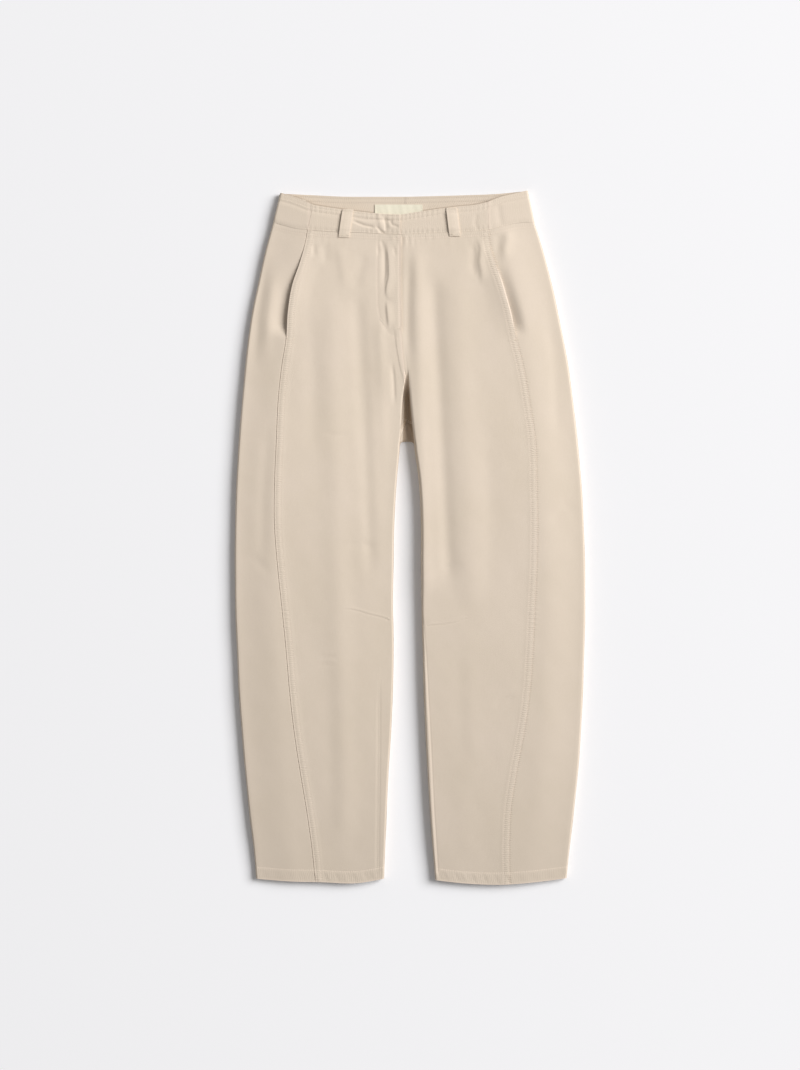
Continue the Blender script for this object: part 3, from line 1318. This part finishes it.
def bumped(tree, height, distance, strength=1.0, before=None):
    made = node(tree, "ShaderNodeBump")
    made.inputs["Strength"].default_value = strength
    made.inputs["Distance"].default_value = distance
    tree.links.new(height, made.inputs["Height"])
    if before is not None:
        tree.links.new(before, made.inputs["Normal"])
    return made.outputs["Normal"]


def tinted(colour, factor, blue=1.0):
    return (colour[0] * factor, colour[1] * factor, colour[2] * factor * blue)


def twill_material():
    """Garment-washed cotton twill."""
    if "cotton twill" in bpy.data.materials:
        return bpy.data.materials["cotton twill"]
    cloth = bpy.context.scene.trouser_cloth
    colour = tuple(cloth.colour)
    material, tree, shader = new_material("cotton twill")
    links = tree.links
    uv = node(tree, "ShaderNodeUVMap", uv_map="cloth").outputs[0]
    place = node(tree, "ShaderNodeTexCoord").outputs["Object"]
    weave = use_group(tree, twill_group(), Place=uv, Rib_Pitch=cloth.rib_pitch)
    mottle = use_group(tree, mottle_group(), Place=place, Cloud_Scale=9.0)
    split = node(tree, "ShaderNodeSeparateXYZ")
    links.new(uv, split.inputs[0])
    downwards = node(tree, "ShaderNodeMapRange")
    downwards.inputs["From Min"].default_value = 0.15
    downwards.inputs["From Max"].default_value = -0.50
    links.new(split.outputs[1], downwards.inputs["Value"])
    down = use_group(tree, pucker_group(), Along=split.outputs[1], Place=place, Pitch=0.0031)
    sideways = use_group(tree, pucker_group(), Along=split.outputs[0], Place=place, Pitch=0.0027)
    masks = {
        key: node(tree, "ShaderNodeAttribute", attribute_name=key).outputs["Fac"]
        for key in ("pucker_down", "pucker_across", "worn", "hollow")
    }
    base = mixed_colour(tree, mottle.outputs["Cloud"], tinted(colour, 0.93, 0.965),
                        tinted(colour, 1.06, 1.03))
    grain = math_node(tree, "MULTIPLY", mottle.outputs["Grain"], 0.16)
    base = mixed_colour(tree, grain, base, tinted(colour, 0.70, 0.92))
    slub = math_node(tree, "MULTIPLY", weave.outputs["Slub"], 0.14)
    base = mixed_colour(tree, slub, base, tinted(colour, 1.22, 1.05))
    deeper = math_node(tree, "MULTIPLY", downwards.outputs[0], cloth.hem_tone)
    base = mixed_colour(tree, deeper, base, tinted(colour, 0.5))
    worn = math_node(tree, "MULTIPLY", masks["worn"], cloth.edge_wear)
    base = mixed_colour(tree, worn, base, (min(1.0, colour[0] * 1.2), min(1.0, colour[1] * 1.16),
                                           min(1.0, colour[2] * 1.18)))
    base = mixed_colour(tree, masks["hollow"], base,
                        (colour[0] * 0.52, colour[1] * 0.46, colour[2] * 0.40))
    links.new(base, shader.inputs["Base Color"])
    pucker = math_node(tree, "ADD",
                       math_node(tree, "MULTIPLY", down.outputs[0], masks["pucker_down"]),
                       math_node(tree, "MULTIPLY", sideways.outputs[0], masks["pucker_across"]))
    normal = bumped(tree, pucker, cloth.pucker_depth)
    normal = bumped(tree, weave.outputs["Height"], cloth.rib_depth, 0.6, normal)
    links.new(normal, shader.inputs["Normal"])
    rough = math_node(tree, "ADD", math_node(tree, "MULTIPLY", mottle.outputs["Grain"], 0.12), 0.80)
    links.new(rough, shader.inputs["Roughness"])
    shader.inputs["Specular IOR Level"].default_value = 0.25
    shader.inputs["Sheen Weight"].default_value = 0.12
    shader.inputs["Sheen Roughness"].default_value = 0.5
    return material


def label_material():
    """Woven satin label, cream and left bare."""
    cloth = bpy.context.scene.trouser_cloth
    colour = tuple(cloth.label_colour)
    material, tree, shader = new_material("woven label")
    uv = node(tree, "ShaderNodeUVMap", uv_map="cloth").outputs[0]
    place = node(tree, "ShaderNodeTexCoord").outputs["Object"]
    weave = use_group(tree, twill_group(), Place=uv, Rib_Pitch=0.0005)
    mottle = use_group(tree, mottle_group(), Place=place, Cloud_Scale=30.0)
    base = mixed_colour(tree, mottle.outputs["Grain"], tinted(colour, 0.96), tinted(colour, 1.05))
    tree.links.new(base, shader.inputs["Base Color"])
    tree.links.new(bumped(tree, weave.outputs["Height"], 0.00005, 0.5), shader.inputs["Normal"])
    shader.inputs["Roughness"].default_value = 0.55
    shader.inputs["Sheen Weight"].default_value = 0.1
    return material


def thread_material():
    """Matt sewing thread, twisted, a shade paler than the cloth."""
    if "sewing thread" in bpy.data.materials:
        return bpy.data.materials["sewing thread"]
    colour = tuple(bpy.context.scene.trouser_sewing.colour)
    material, tree, shader = new_material("sewing thread")
    place = node(tree, "ShaderNodeTexCoord").outputs["Object"]
    mottle = use_group(tree, mottle_group(), Place=place, Cloud_Scale=60.0)
    base = mixed_colour(tree, mottle.outputs["Cloud"], tinted(colour, 0.90), tinted(colour, 1.06))
    tree.links.new(base, shader.inputs["Base Color"])
    tree.links.new(bumped(tree, mottle.outputs["Grain"], 0.0001, 0.6), shader.inputs["Normal"])
    shader.inputs["Roughness"].default_value = 0.7
    return material


# Settings shown in the sidebar

class TrouserClothSettings(bpy.types.PropertyGroup):
    colour: FloatVectorProperty(
        name="Cloth Colour", description="Colour of the twill", subtype="COLOR", size=3,
        min=0.0, max=1.0, default=(0.752, 0.650, 0.542))
    label_colour: FloatVectorProperty(
        name="Label Colour", description="Colour of the bare woven label", subtype="COLOR",
        size=3, min=0.0, max=1.0, default=(0.84, 0.80, 0.66))
    rib_pitch: FloatProperty(
        name="Rib Pitch", description="Distance between the ribs of the twill",
        default=0.0009, min=0.0002, max=0.01, subtype="DISTANCE", unit="LENGTH")
    rib_depth: FloatProperty(
        name="Rib Depth", description="Depth of the ribs of the twill",
        default=0.00016, min=0.0, max=0.001, subtype="DISTANCE", unit="LENGTH")
    pucker_depth: FloatProperty(
        name="Pucker Depth", description="Depth of the fine gathers beside the stitching",
        default=0.00028, min=0.0, max=0.002, subtype="DISTANCE", unit="LENGTH")
    hem_tone: FloatProperty(
        name="Hem Tone", description="How much deeper the washed colour is at the hems",
        default=0.30, min=0.0, max=1.0, subtype="FACTOR")
    edge_wear: FloatProperty(
        name="Edge Wear", description="How pale the folded edges have been washed",
        default=0.5, min=0.0, max=1.0, subtype="FACTOR")


class TrouserSewingSettings(bpy.types.PropertyGroup):
    colour: FloatVectorProperty(
        name="Thread Colour", description="Colour of the topstitching", subtype="COLOR", size=3,
        min=0.0, max=1.0, default=(0.80, 0.71, 0.60))
    stitch: FloatProperty(
        name="Stitch Length", description="Length of one stitch that shows",
        default=0.0025, min=0.0005, max=0.01, subtype="DISTANCE", unit="LENGTH")
    pitch: FloatProperty(
        name="Stitch Pitch", description="Distance from one stitch to the next",
        default=0.0033, min=0.001, max=0.02, subtype="DISTANCE", unit="LENGTH")
    thread: FloatProperty(
        name="Thread Thickness", description="Thickness of the sewing thread",
        default=0.0007, min=0.0002, max=0.002, subtype="DISTANCE", unit="LENGTH")
    seed: IntProperty(
        name="Seed", description="Fixes the small unevenness of the stitches", default=7)


class TrouserStageSettings(bpy.types.PropertyGroup):
    floor_colour: FloatVectorProperty(
        name="Floor Colour", description="Colour of the plain floor", subtype="COLOR", size=3,
        min=0.0, max=1.0, default=(0.906, 0.917, 0.955))
    key_power: FloatProperty(
        name="Key Light", description="Power of the soft light on the right",
        default=8200.0, min=0.0, subtype="POWER", unit="POWER")
    sky: FloatProperty(
        name="Fill Light", description="Strength of the even light from all round",
        default=0.28, min=0.0)


# Operators, one for each piece or group of like pieces


class TROUSERS_OT_fronts(bpy.types.Operator):
    """Make the two front panels with their creases, fly lap and darts"""

    bl_idname = "trousers.fronts"
    bl_label = "Front Panels"

    def execute(self, context):
        for side in SIDES:
            name = "front_" + side
            obj = cloth_piece(name, lambda p, n, s=side: front_relief(s, p, n), leg_cloth,
                              twill_material())
            finish_piece(obj, name)
        return {"FINISHED"}


class TROUSERS_OT_backs(bpy.types.Operator):
    """Make the two back panels, which turn forward round the outer folds"""

    bl_idname = "trousers.backs"
    bl_label = "Back Panels"

    def execute(self, context):
        for side in SIDES:
            name = "back_" + side
            obj = cloth_piece(name, lambda p, n, s=side: back_relief(s, p, n), leg_cloth,
                              twill_material())
            finish_piece(obj, name)
        return {"FINISHED"}


class TROUSERS_OT_waistband(bpy.types.Operator):
    """Make the three pieces of the waistband"""

    bl_idname = "trousers.waistband"
    bl_label = "Waistband"

    def execute(self, context):
        for side in (*SIDES, "back"):
            name = "waistband_back" if side == "back" else "waistband_front_" + side
            obj = cloth_piece(name, lambda p, n, s=side: band_relief(s, p, n),
                              lambda p: np.full(len(p), BAND_CLOTH), twill_material())
            finish_piece(obj, name)
        return {"FINISHED"}


class TROUSERS_OT_belt_loops(bpy.types.Operator):
    """Make the belt loops in front, and those pressed flat behind"""

    bl_idname = "trousers.belt_loops"
    bl_label = "Belt Loops"

    def execute(self, context):
        bands = surface_trees(("twill_waistband_front_right", "twill_waistband_front_left",
                               "twill_front_right", "twill_front_left"))
        across = np.linspace(-0.5, 0.5, 11)
        for loop in FRONT_LOOPS:
            rows = []
            for share in np.linspace(0.0, 1.0, 27):
                stand = smooth(share / 0.3) * smooth((1.0 - share) / 0.26)
                x = mix(loop.bottom_x, loop.top_x, share) + across * LOOP_WIDTH
                y = np.full(x.shape, mix(loop.bottom, loop.top, share))
                base = max(surface_under(bands, px, y[0]) or 0.0 for px in x)
                turned = 0.35 * np.sqrt(np.maximum(0.0, 1.0 - (2.0 * across) ** 8))
                tilt = 0.5 - across / 1.1
                z = base + SEAM_GAP + LOOP_CLOTH + LOOP_STAND * stand * tilt - 0.5 + turned
                z = z - 0.25 * np.exp(-(((np.abs(across) - 0.32) / 0.07) ** 2))
                rows.append(np.stack([x, y, z], axis=-1))
            obj = slab("twill_" + loop.name, rows, LOOP_CLOTH, twill_material())
            finish_piece(obj, loop.name)
        for loop in BACK_LOOPS:
            rows = []
            for share in np.linspace(0.0, 1.0, 15):
                x = mix(loop.bottom_x, loop.top_x, share) + across * LOOP_WIDTH
                y = np.full(x.shape, mix(loop.bottom, loop.top, share))
                z = np.full(x.shape, 1.2)
                rows.append(np.stack([x, y, z], axis=-1))
            obj = slab("twill_" + loop.name, rows, 1.1, twill_material())
            finish_piece(obj, loop.name)
        return {"FINISHED"}


class TROUSERS_OT_pocket_facings(bpy.types.Operator):
    """Make the strips of cloth that show in the pocket mouths"""

    bl_idname = "trousers.pocket_facings"
    bl_label = "Pocket Facings"

    def execute(self, context):
        for side in SIDES:
            direction = inward(side)
            rows = []
            for level in np.linspace(MOUTH_END - 8.0, MOUTH_TOP + 4.0, 48):
                across = np.array([-9.0, -6.0, -4.0, -2.0, 0.0, 2.0, 4.0, 6.0, 9.0, 12.0, 17.0, 22.0,
                                   FACING_IN])
                x = SEAM[side](level) + direction * across
                y = np.full(x.shape, level)
                sink = mouth_sink(side, x, y) * (1.0 - smooth((across - 2.0) / 14.0))
                z = crown(side, x, y) + np.minimum(0.0, creased(x, y, CREASES))
                z = z - CLOTH - SEAM_GAP - 0.75 - sink
                row = np.stack([x, y, z], axis=-1)
                rows.append(row if side == "right" else row[::-1])
            name = "pocket_facing_" + side
            obj = slab("twill_" + name, rows, FACING_CLOTH, twill_material(), 0.5)
            finish_piece(obj, name)
        return {"FINISHED"}


class TROUSERS_OT_label(bpy.types.Operator):
    """Make the bare woven label inside the back of the waistband"""

    bl_idname = "trousers.label"
    bl_label = "Label"

    def execute(self, context):
        width, depth, thickness = LABEL_SIZE
        rows = []
        for y in np.linspace(LABEL_TOP - depth, LABEL_TOP, 13):
            share = np.linspace(-0.5, 0.5, 29)
            wave = 0.12 * np.sin(share * 17.0) + 0.1 * np.sin(share * 41.0 + y / 6.0)
            x = LABEL_X + share * width
            z = under(y) + BAND_CLOTH + SEAM_GAP + thickness + 0.25 + wave
            rows.append(np.stack([x, np.full(x.shape, y), np.full(x.shape, 1.0) * z], axis=-1))
        obj = slab("woven_label", rows, 0.45, label_material())
        finish_piece(obj, "label")
        return {"FINISHED"}


def surface_trees(names):
    trees = []
    for name in names:
        mesh = bpy.data.objects[name].data
        points = [v.co for v in mesh.vertices]
        trees.append(BVHTree.FromPolygons(points, [tuple(p.vertices) for p in mesh.polygons]))
    return trees


def spaced(line, step=4.0):
    """Points at even steps along a polyline."""
    line = np.array(line, float)
    along = np.concatenate([[0.0], np.cumsum(np.linalg.norm(np.diff(line, axis=0), axis=1))])
    at = np.linspace(0.0, along[-1], max(2, round(along[-1] / step) + 1))
    return np.stack([np.interp(at, along, line[:, k]) for k in range(2)], axis=-1)


def stitch_lines():
    """Lines of topstitching on the upper side, by the place of the thread."""
    lines = []
    for side in SIDES:
        direction = inward(side)
        for off in SEAM_ROWS:
            levels = np.arange(-498.0, 446.0, 6.0)
            lines.append([(SEAM[side](v) + direction * off, v) for v in levels])
        share = np.linspace(0.02, 0.985, 60)
        at = -493.0
        x = mix(OUTER[side](at), INNER[side](at), share)
        lines.append(list(zip(x, HEM_AT[side](share) + HEM_DEPTH)))
        share = np.linspace(0.0, 1.0, 40)
        seam_x = mix(SEAM[side](448.0), CENTRE_X(445.0), share)
        seam_y = WAIST_LINES["front", side, "seam"](share)
        for off in PANEL_ROWS_BELOW_SEAM:
            lines.append(list(zip(seam_x, seam_y - off)))
        for off in BAND_ROWS_ABOVE_SEAM:
            lines.append(list(zip(seam_x, seam_y + off)))
        top_x = mix(BAND_SEAM_X[side], CENTRE_X(470.0), share)
        top_y = WAIST_LINES["front", side, "top"](share)
        for off in BAND_ROWS_BELOW_TOP:
            lines.append(list(zip(top_x, top_y - off)))
        side_x = mix(OUTER[side](455.0), SEAM[side](448.0), share)
        side_y = WAIST_LINES["side", side, "seam"](share)
        for off in PANEL_ROWS_BELOW_SEAM:
            lines.append(list(zip(side_x, side_y - off))[2:])
        for off in BAND_ROWS_ABOVE_SEAM:
            lines.append(list(zip(side_x, side_y + off))[2:])
        top_x = mix(BAND_FOLD_X[side], BAND_SEAM_X[side], share)
        top_y = WAIST_LINES["side", side, "top"](share)
        for off in BAND_ROWS_BELOW_TOP:
            lines.append(list(zip(top_x, top_y - off))[3:])
    levels = np.arange(302.0, 470.0, 6.0)
    lines.append([(CENTRE_X(v) - 2.6, v) for v in levels])
    lines.append(FLY_STITCH)
    lines.append([(p[0] - 1.6, p[1]) for p in CROTCH_SEAM_RIGHT])
    lines.append([(p[0] + 0.6, p[1]) for p in CROTCH_SEAM_LEFT])
    lines.append([(p[0] - 3.0, p[1]) for p in INSEAM_STEP])
    lines += INSEAM_ROWS
    lines += CROTCH_CROSS_ROWS
    return lines


def tack_lines():
    """Short dense bars at the pocket mouths, the fly and the belt loops."""
    bars = [
        [(-180.0, 290.0), (-169.0, 290.0)],
        [(155.4, 287.0), (144.0, 287.0)],
        [(-23.0, 304.0), (-13.5, 304.0)],
        [(-35.0, -119.5), (-31.0, -118.5)],
        [(20.0, -130.0), (24.0, -129.5)],
        [(-44.0, 318.0), (-38.0, 312.0)],
    ]
    for loop in FRONT_LOOPS:
        for x, y in ((loop.bottom_x, loop.bottom + 2.2), (loop.top_x, loop.top - 2.4)):
            bars.append([(x - 7.0, y), (x + 7.0, y)])
    return [[(x, y + 0.7 * k) for x, y in bar] for bar in bars for k in range(3)]


def band_inside_lines():
    """Stitching on the inside of the back waistband, behind the front's top edge."""
    share = np.linspace(0.0, 1.0, 60)
    lines = []
    for side in SIDES:
        x = mix(BAND_FOLD_X[side] + 9.0 * inward(side), CENTRE_BACK, share)
        y = WAIST_LINES["back", side, "top"](share)
        for off in BAND_ROWS_BELOW_TOP:
            lines.append(list(zip(x, y - off)))
    lines += [[(-158.0, 497.0 + 0.7 * k), (-151.0, 497.0 + 0.7 * k)] for k in range(2)]
    left, right = LABEL_X - 33.6, LABEL_X + 33.6
    for x in (left, right):
        lines.append([(x, LABEL_TOP - 22.0), (x, LABEL_TOP - 2.0)])
    return lines


def under_lines():
    """Stitching that shows on the back, seen from below."""
    lines = []
    for side in SIDES:
        share = np.linspace(0.04, 0.96, 60)
        x = mix(OUTER[side](-493.0), INNER[side](-493.0), share)
        lines.append(list(zip(x, HEM_AT[side](share) + HEM_DEPTH)))
        share = np.linspace(0.03, 0.99, 60)
        x = mix(OUTER[side](455.0), CENTRE_BACK, share)
        y = WAIST_LINES["back", side, "seam"](share)
        for off in (-6.4, 1.8):
            lines.append(list(zip(x, y + off)))
        x = mix(BAND_FOLD_X[side], CENTRE_BACK, share)
        y = WAIST_LINES["back", side, "top"](share)
        for off in BAND_ROWS_BELOW_TOP:
            lines.append(list(zip(x, y - off)))
    levels = np.arange(160.0, 455.0, 6.0)
    for off in (1.8, 8.0):
        lines.append([(centre_back_x(v) + off, v) for v in levels])
    return lines


def guide_object(name, groups):
    """Polylines lying on the cloth, which the stitches follow."""
    points = []
    edges = []
    for lines, trees, from_below, sink in groups:
        for line in lines:
            before = None
            for x, y in spaced(line):
                z = surface_under(trees, x, y, from_below)
                if z is None:
                    before = None
                    continue
                points.append((x * MM, y * MM, (z + (sink if from_below else -sink)) * MM))
                if before is not None:
                    edges.append((before, len(points) - 1))
                before = len(points) - 1
    mesh = bpy.data.meshes.new(name)
    mesh.from_pydata(points, edges, [])
    obj = bpy.data.objects.new(name, mesh)
    bpy.context.scene.collection.objects.link(obj)
    return obj


def stitch_tree(material):
    """Geometry nodes that lay a row of stitches along each line."""
    tree = bpy.data.node_groups.new("row of stitches", "GeometryNodeTree")
    face = tree.interface
    face.new_socket(name="Lines", in_out="INPUT", socket_type="NodeSocketGeometry")
    sockets = {}
    for title, value in (("Pitch", 0.0033), ("Stitch", 0.0025), ("Thread", 0.0006)):
        made = face.new_socket(name=title, in_out="INPUT", socket_type="NodeSocketFloat")
        made.subtype = "DISTANCE"
        made.default_value = value
        sockets[title] = made.identifier
    made = face.new_socket(name="Seed", in_out="INPUT", socket_type="NodeSocketInt")
    made.default_value = 7
    sockets["Seed"] = made.identifier
    face.new_socket(name="Stitches", in_out="OUTPUT", socket_type="NodeSocketGeometry")
    given = node(tree, "NodeGroupInput")
    out = node(tree, "NodeGroupOutput")
    links = tree.links
    curve = node(tree, "GeometryNodeMeshToCurve")
    links.new(given.outputs["Lines"], curve.inputs["Mesh"])
    points = node(tree, "GeometryNodeCurveToPoints", mode="LENGTH")
    links.new(curve.outputs[0], points.inputs["Curve"])
    links.new(given.outputs["Pitch"], points.inputs["Length"])
    bead = node(tree, "GeometryNodeMeshIcoSphere")
    bead.inputs["Radius"].default_value = 0.5
    bead.inputs["Subdivisions"].default_value = 1
    turn = node(tree, "FunctionNodeAlignRotationToVector", axis="X")
    links.new(points.outputs["Tangent"], turn.inputs["Vector"])
    uneven = node(tree, "FunctionNodeRandomValue", data_type="FLOAT")
    uneven.inputs[2].default_value = 0.84
    uneven.inputs[3].default_value = 1.12
    links.new(given.outputs["Seed"], uneven.inputs["Seed"])
    length = node(tree, "ShaderNodeMath", operation="MULTIPLY")
    links.new(given.outputs["Stitch"], length.inputs[0])
    links.new(uneven.outputs[1], length.inputs[1])
    size = node(tree, "ShaderNodeCombineXYZ")
    links.new(length.outputs[0], size.inputs[0])
    links.new(given.outputs["Thread"], size.inputs[1])
    links.new(given.outputs["Thread"], size.inputs[2])
    place = node(tree, "GeometryNodeInstanceOnPoints")
    links.new(points.outputs["Points"], place.inputs["Points"])
    links.new(bead.outputs["Mesh"], place.inputs["Instance"])
    links.new(turn.outputs[0], place.inputs["Rotation"])
    links.new(size.outputs[0], place.inputs["Scale"])
    real = node(tree, "GeometryNodeRealizeInstances")
    links.new(place.outputs[0], real.inputs[0])
    dressed = node(tree, "GeometryNodeSetMaterial")
    dressed.inputs["Material"].default_value = material
    links.new(real.outputs[0], dressed.inputs["Geometry"])
    links.new(dressed.outputs[0], out.inputs["Stitches"])
    return tree, sockets


def sewn(name, groups, pitch, stitch, thread, seed):
    """Stitches as one plain mesh, laid by the node tree and then made real."""
    guide = guide_object(name + "_guide", groups)
    material = thread_material()
    tree, sockets = stitch_tree(material)
    modifier = guide.modifiers.new("stitches", "NODES")
    modifier.node_group = tree
    for title, value in (("Pitch", pitch), ("Stitch", stitch), ("Thread", thread), ("Seed", seed)):
        modifier[sockets[title]] = value
    evaluated = guide.evaluated_get(bpy.context.evaluated_depsgraph_get())
    mesh = bpy.data.meshes.new_from_object(evaluated)
    mesh.name = name
    if not mesh.materials:
        mesh.materials.append(material)
    mesh.shade_smooth()
    obj = bpy.data.objects.new(name, mesh)
    bpy.context.scene.collection.objects.link(obj)
    guide.modifiers.remove(modifier)
    bpy.data.objects.remove(guide, do_unlink=True)
    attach(obj, "root")
    return obj


class TROUSERS_OT_stitching(bpy.types.Operator):
    """Lay the topstitching and the bar tacks along their lines"""

    bl_idname = "trousers.stitching"
    bl_label = "Stitching"

    def execute(self, context):
        sewing = context.scene.trouser_sewing
        top = surface_trees(("twill_front_right", "twill_front_left", "twill_back_right",
                             "twill_back_left", "twill_waistband_front_right",
                             "twill_waistband_front_left", "twill_waistband_back"))
        loops = surface_trees([("twill_" + loop.name) for loop in FRONT_LOOPS])
        inside = surface_trees(("twill_waistband_back", "woven_label"))
        sewn("topstitching", [(stitch_lines(), top, False, 0.1),
                              (under_lines(), top, True, 0.1)],
             sewing.pitch, sewing.stitch, sewing.thread, sewing.seed)
        sewn("waistband_inside_stitching", [(band_inside_lines(), inside, False, 0.1)],
             sewing.pitch, sewing.stitch, sewing.thread, sewing.seed)
        sewn("bar_tacks", [(tack_lines(), top + loops, False, 0.1)],
             sewing.stitch * 0.5, sewing.stitch * 0.6, sewing.thread * 1.1, sewing.seed)
        return {"FINISHED"}


class TROUSERS_OT_stage(bpy.types.Operator):
    """Set the plain floor, the soft light and the camera straight above"""

    bl_idname = "trousers.stage"
    bl_label = "Stage"

    def execute(self, context):
        stage = context.scene.trouser_stage
        floor_mesh = bpy.data.meshes.new("floor")
        floor_mesh.from_pydata([(-4, -4, 0), (4, -4, 0), (4, 4, 0), (-4, 4, 0)], [], [(0, 1, 2, 3)])
        floor = bpy.data.objects.new("floor", floor_mesh)
        context.scene.collection.objects.link(floor)
        material, _, shader = new_material("plain floor")
        shader.inputs["Base Color"].default_value = (*stage.floor_colour, 1.0)
        shader.inputs["Roughness"].default_value = 0.9
        shader.inputs["Specular IOR Level"].default_value = 0.1
        floor_mesh.materials.append(material)
        light = bpy.data.lights.new("soft light", "AREA")
        light.shape = "RECTANGLE"
        light.size = 15.0
        light.size_y = 15.0
        light.energy = stage.key_power
        light.color = (1.0, 0.985, 0.965)
        lamp = bpy.data.objects.new("soft light", light)
        context.scene.collection.objects.link(lamp)
        lamp.location = (18.5, 7.75, 14.75)
        lamp.rotation_euler = (Vector((0.0, -0.05, 0.0)) - lamp.location).to_track_quat(
            "-Z", "Y").to_euler()
        world = bpy.data.worlds.new("even light")
        world.use_nodes = True
        background = world.node_tree.nodes["Background"]
        background.inputs["Color"].default_value = (1.0, 0.975, 0.94, 1.0)
        background.inputs["Strength"].default_value = stage.sky
        context.scene.world = world
        context.scene.view_settings.view_transform = "Standard"
        data = bpy.data.cameras.new("camera")
        data.sensor_width = 36.0
        distance = 4.0
        picture_height = 1070 * 1.46 * MM
        data.lens = data.sensor_width * (distance - 0.012) / picture_height
        data.clip_end = 50.0
        camera = bpy.data.objects.new("camera", data)
        context.scene.collection.objects.link(camera)
        camera.location = ((400 - 410) * 1.46 * MM, (537.5 - 535) * 1.46 * MM, distance)
        context.scene.camera = camera
        return {"FINISHED"}


class TROUSERS_PT_panel(bpy.types.Panel):
    """Lists the steps and the settings of the trousers"""

    bl_idname = "TROUSERS_PT_panel"
    bl_label = "Barrel Leg Trousers"
    bl_space_type = "VIEW_3D"
    bl_region_type = "UI"
    bl_category = "Trousers"

    def draw(self, context):
        scene = context.scene
        groups = (
            (scene.trouser_cloth, ("colour", "label_colour", "rib_pitch", "rib_depth",
                                   "pucker_depth", "hem_tone", "edge_wear")),
            (scene.trouser_sewing, ("colour", "stitch", "pitch", "thread", "seed")),
            (scene.trouser_stage, ("floor_colour", "key_power", "sky")),
        )
        for group, names in groups:
            box = self.layout.box()
            for name in names:
                box.prop(group, name)
        for operator in OPERATORS:
            self.layout.operator(operator.bl_idname)


SETTINGS = (TrouserClothSettings, TrouserSewingSettings, TrouserStageSettings)
OPERATORS = (
    TROUSERS_OT_fronts,
    TROUSERS_OT_backs,
    TROUSERS_OT_waistband,
    TROUSERS_OT_belt_loops,
    TROUSERS_OT_pocket_facings,
    TROUSERS_OT_label,
    TROUSERS_OT_stitching,
    TROUSERS_OT_stage,
)


def register():
    for cls in (*SETTINGS, *OPERATORS, TROUSERS_PT_panel):
        bpy.utils.register_class(cls)
    bpy.types.Scene.trouser_cloth = PointerProperty(type=TrouserClothSettings)
    bpy.types.Scene.trouser_sewing = PointerProperty(type=TrouserSewingSettings)
    bpy.types.Scene.trouser_stage = PointerProperty(type=TrouserStageSettings)


def unregister():
    del bpy.types.Scene.trouser_stage
    del bpy.types.Scene.trouser_sewing
    del bpy.types.Scene.trouser_cloth
    for cls in reversed((*SETTINGS, *OPERATORS, TROUSERS_PT_panel)):
        bpy.utils.unregister_class(cls)


def main():
    register()
    bpy.ops.trousers.fronts()
    bpy.ops.trousers.backs()
    bpy.ops.trousers.waistband()
    bpy.ops.trousers.belt_loops()
    bpy.ops.trousers.pocket_facings()
    bpy.ops.trousers.label()
    bpy.ops.trousers.stitching()
    bpy.ops.trousers.stage()
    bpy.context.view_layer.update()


if __name__ == "__main__":
    main()
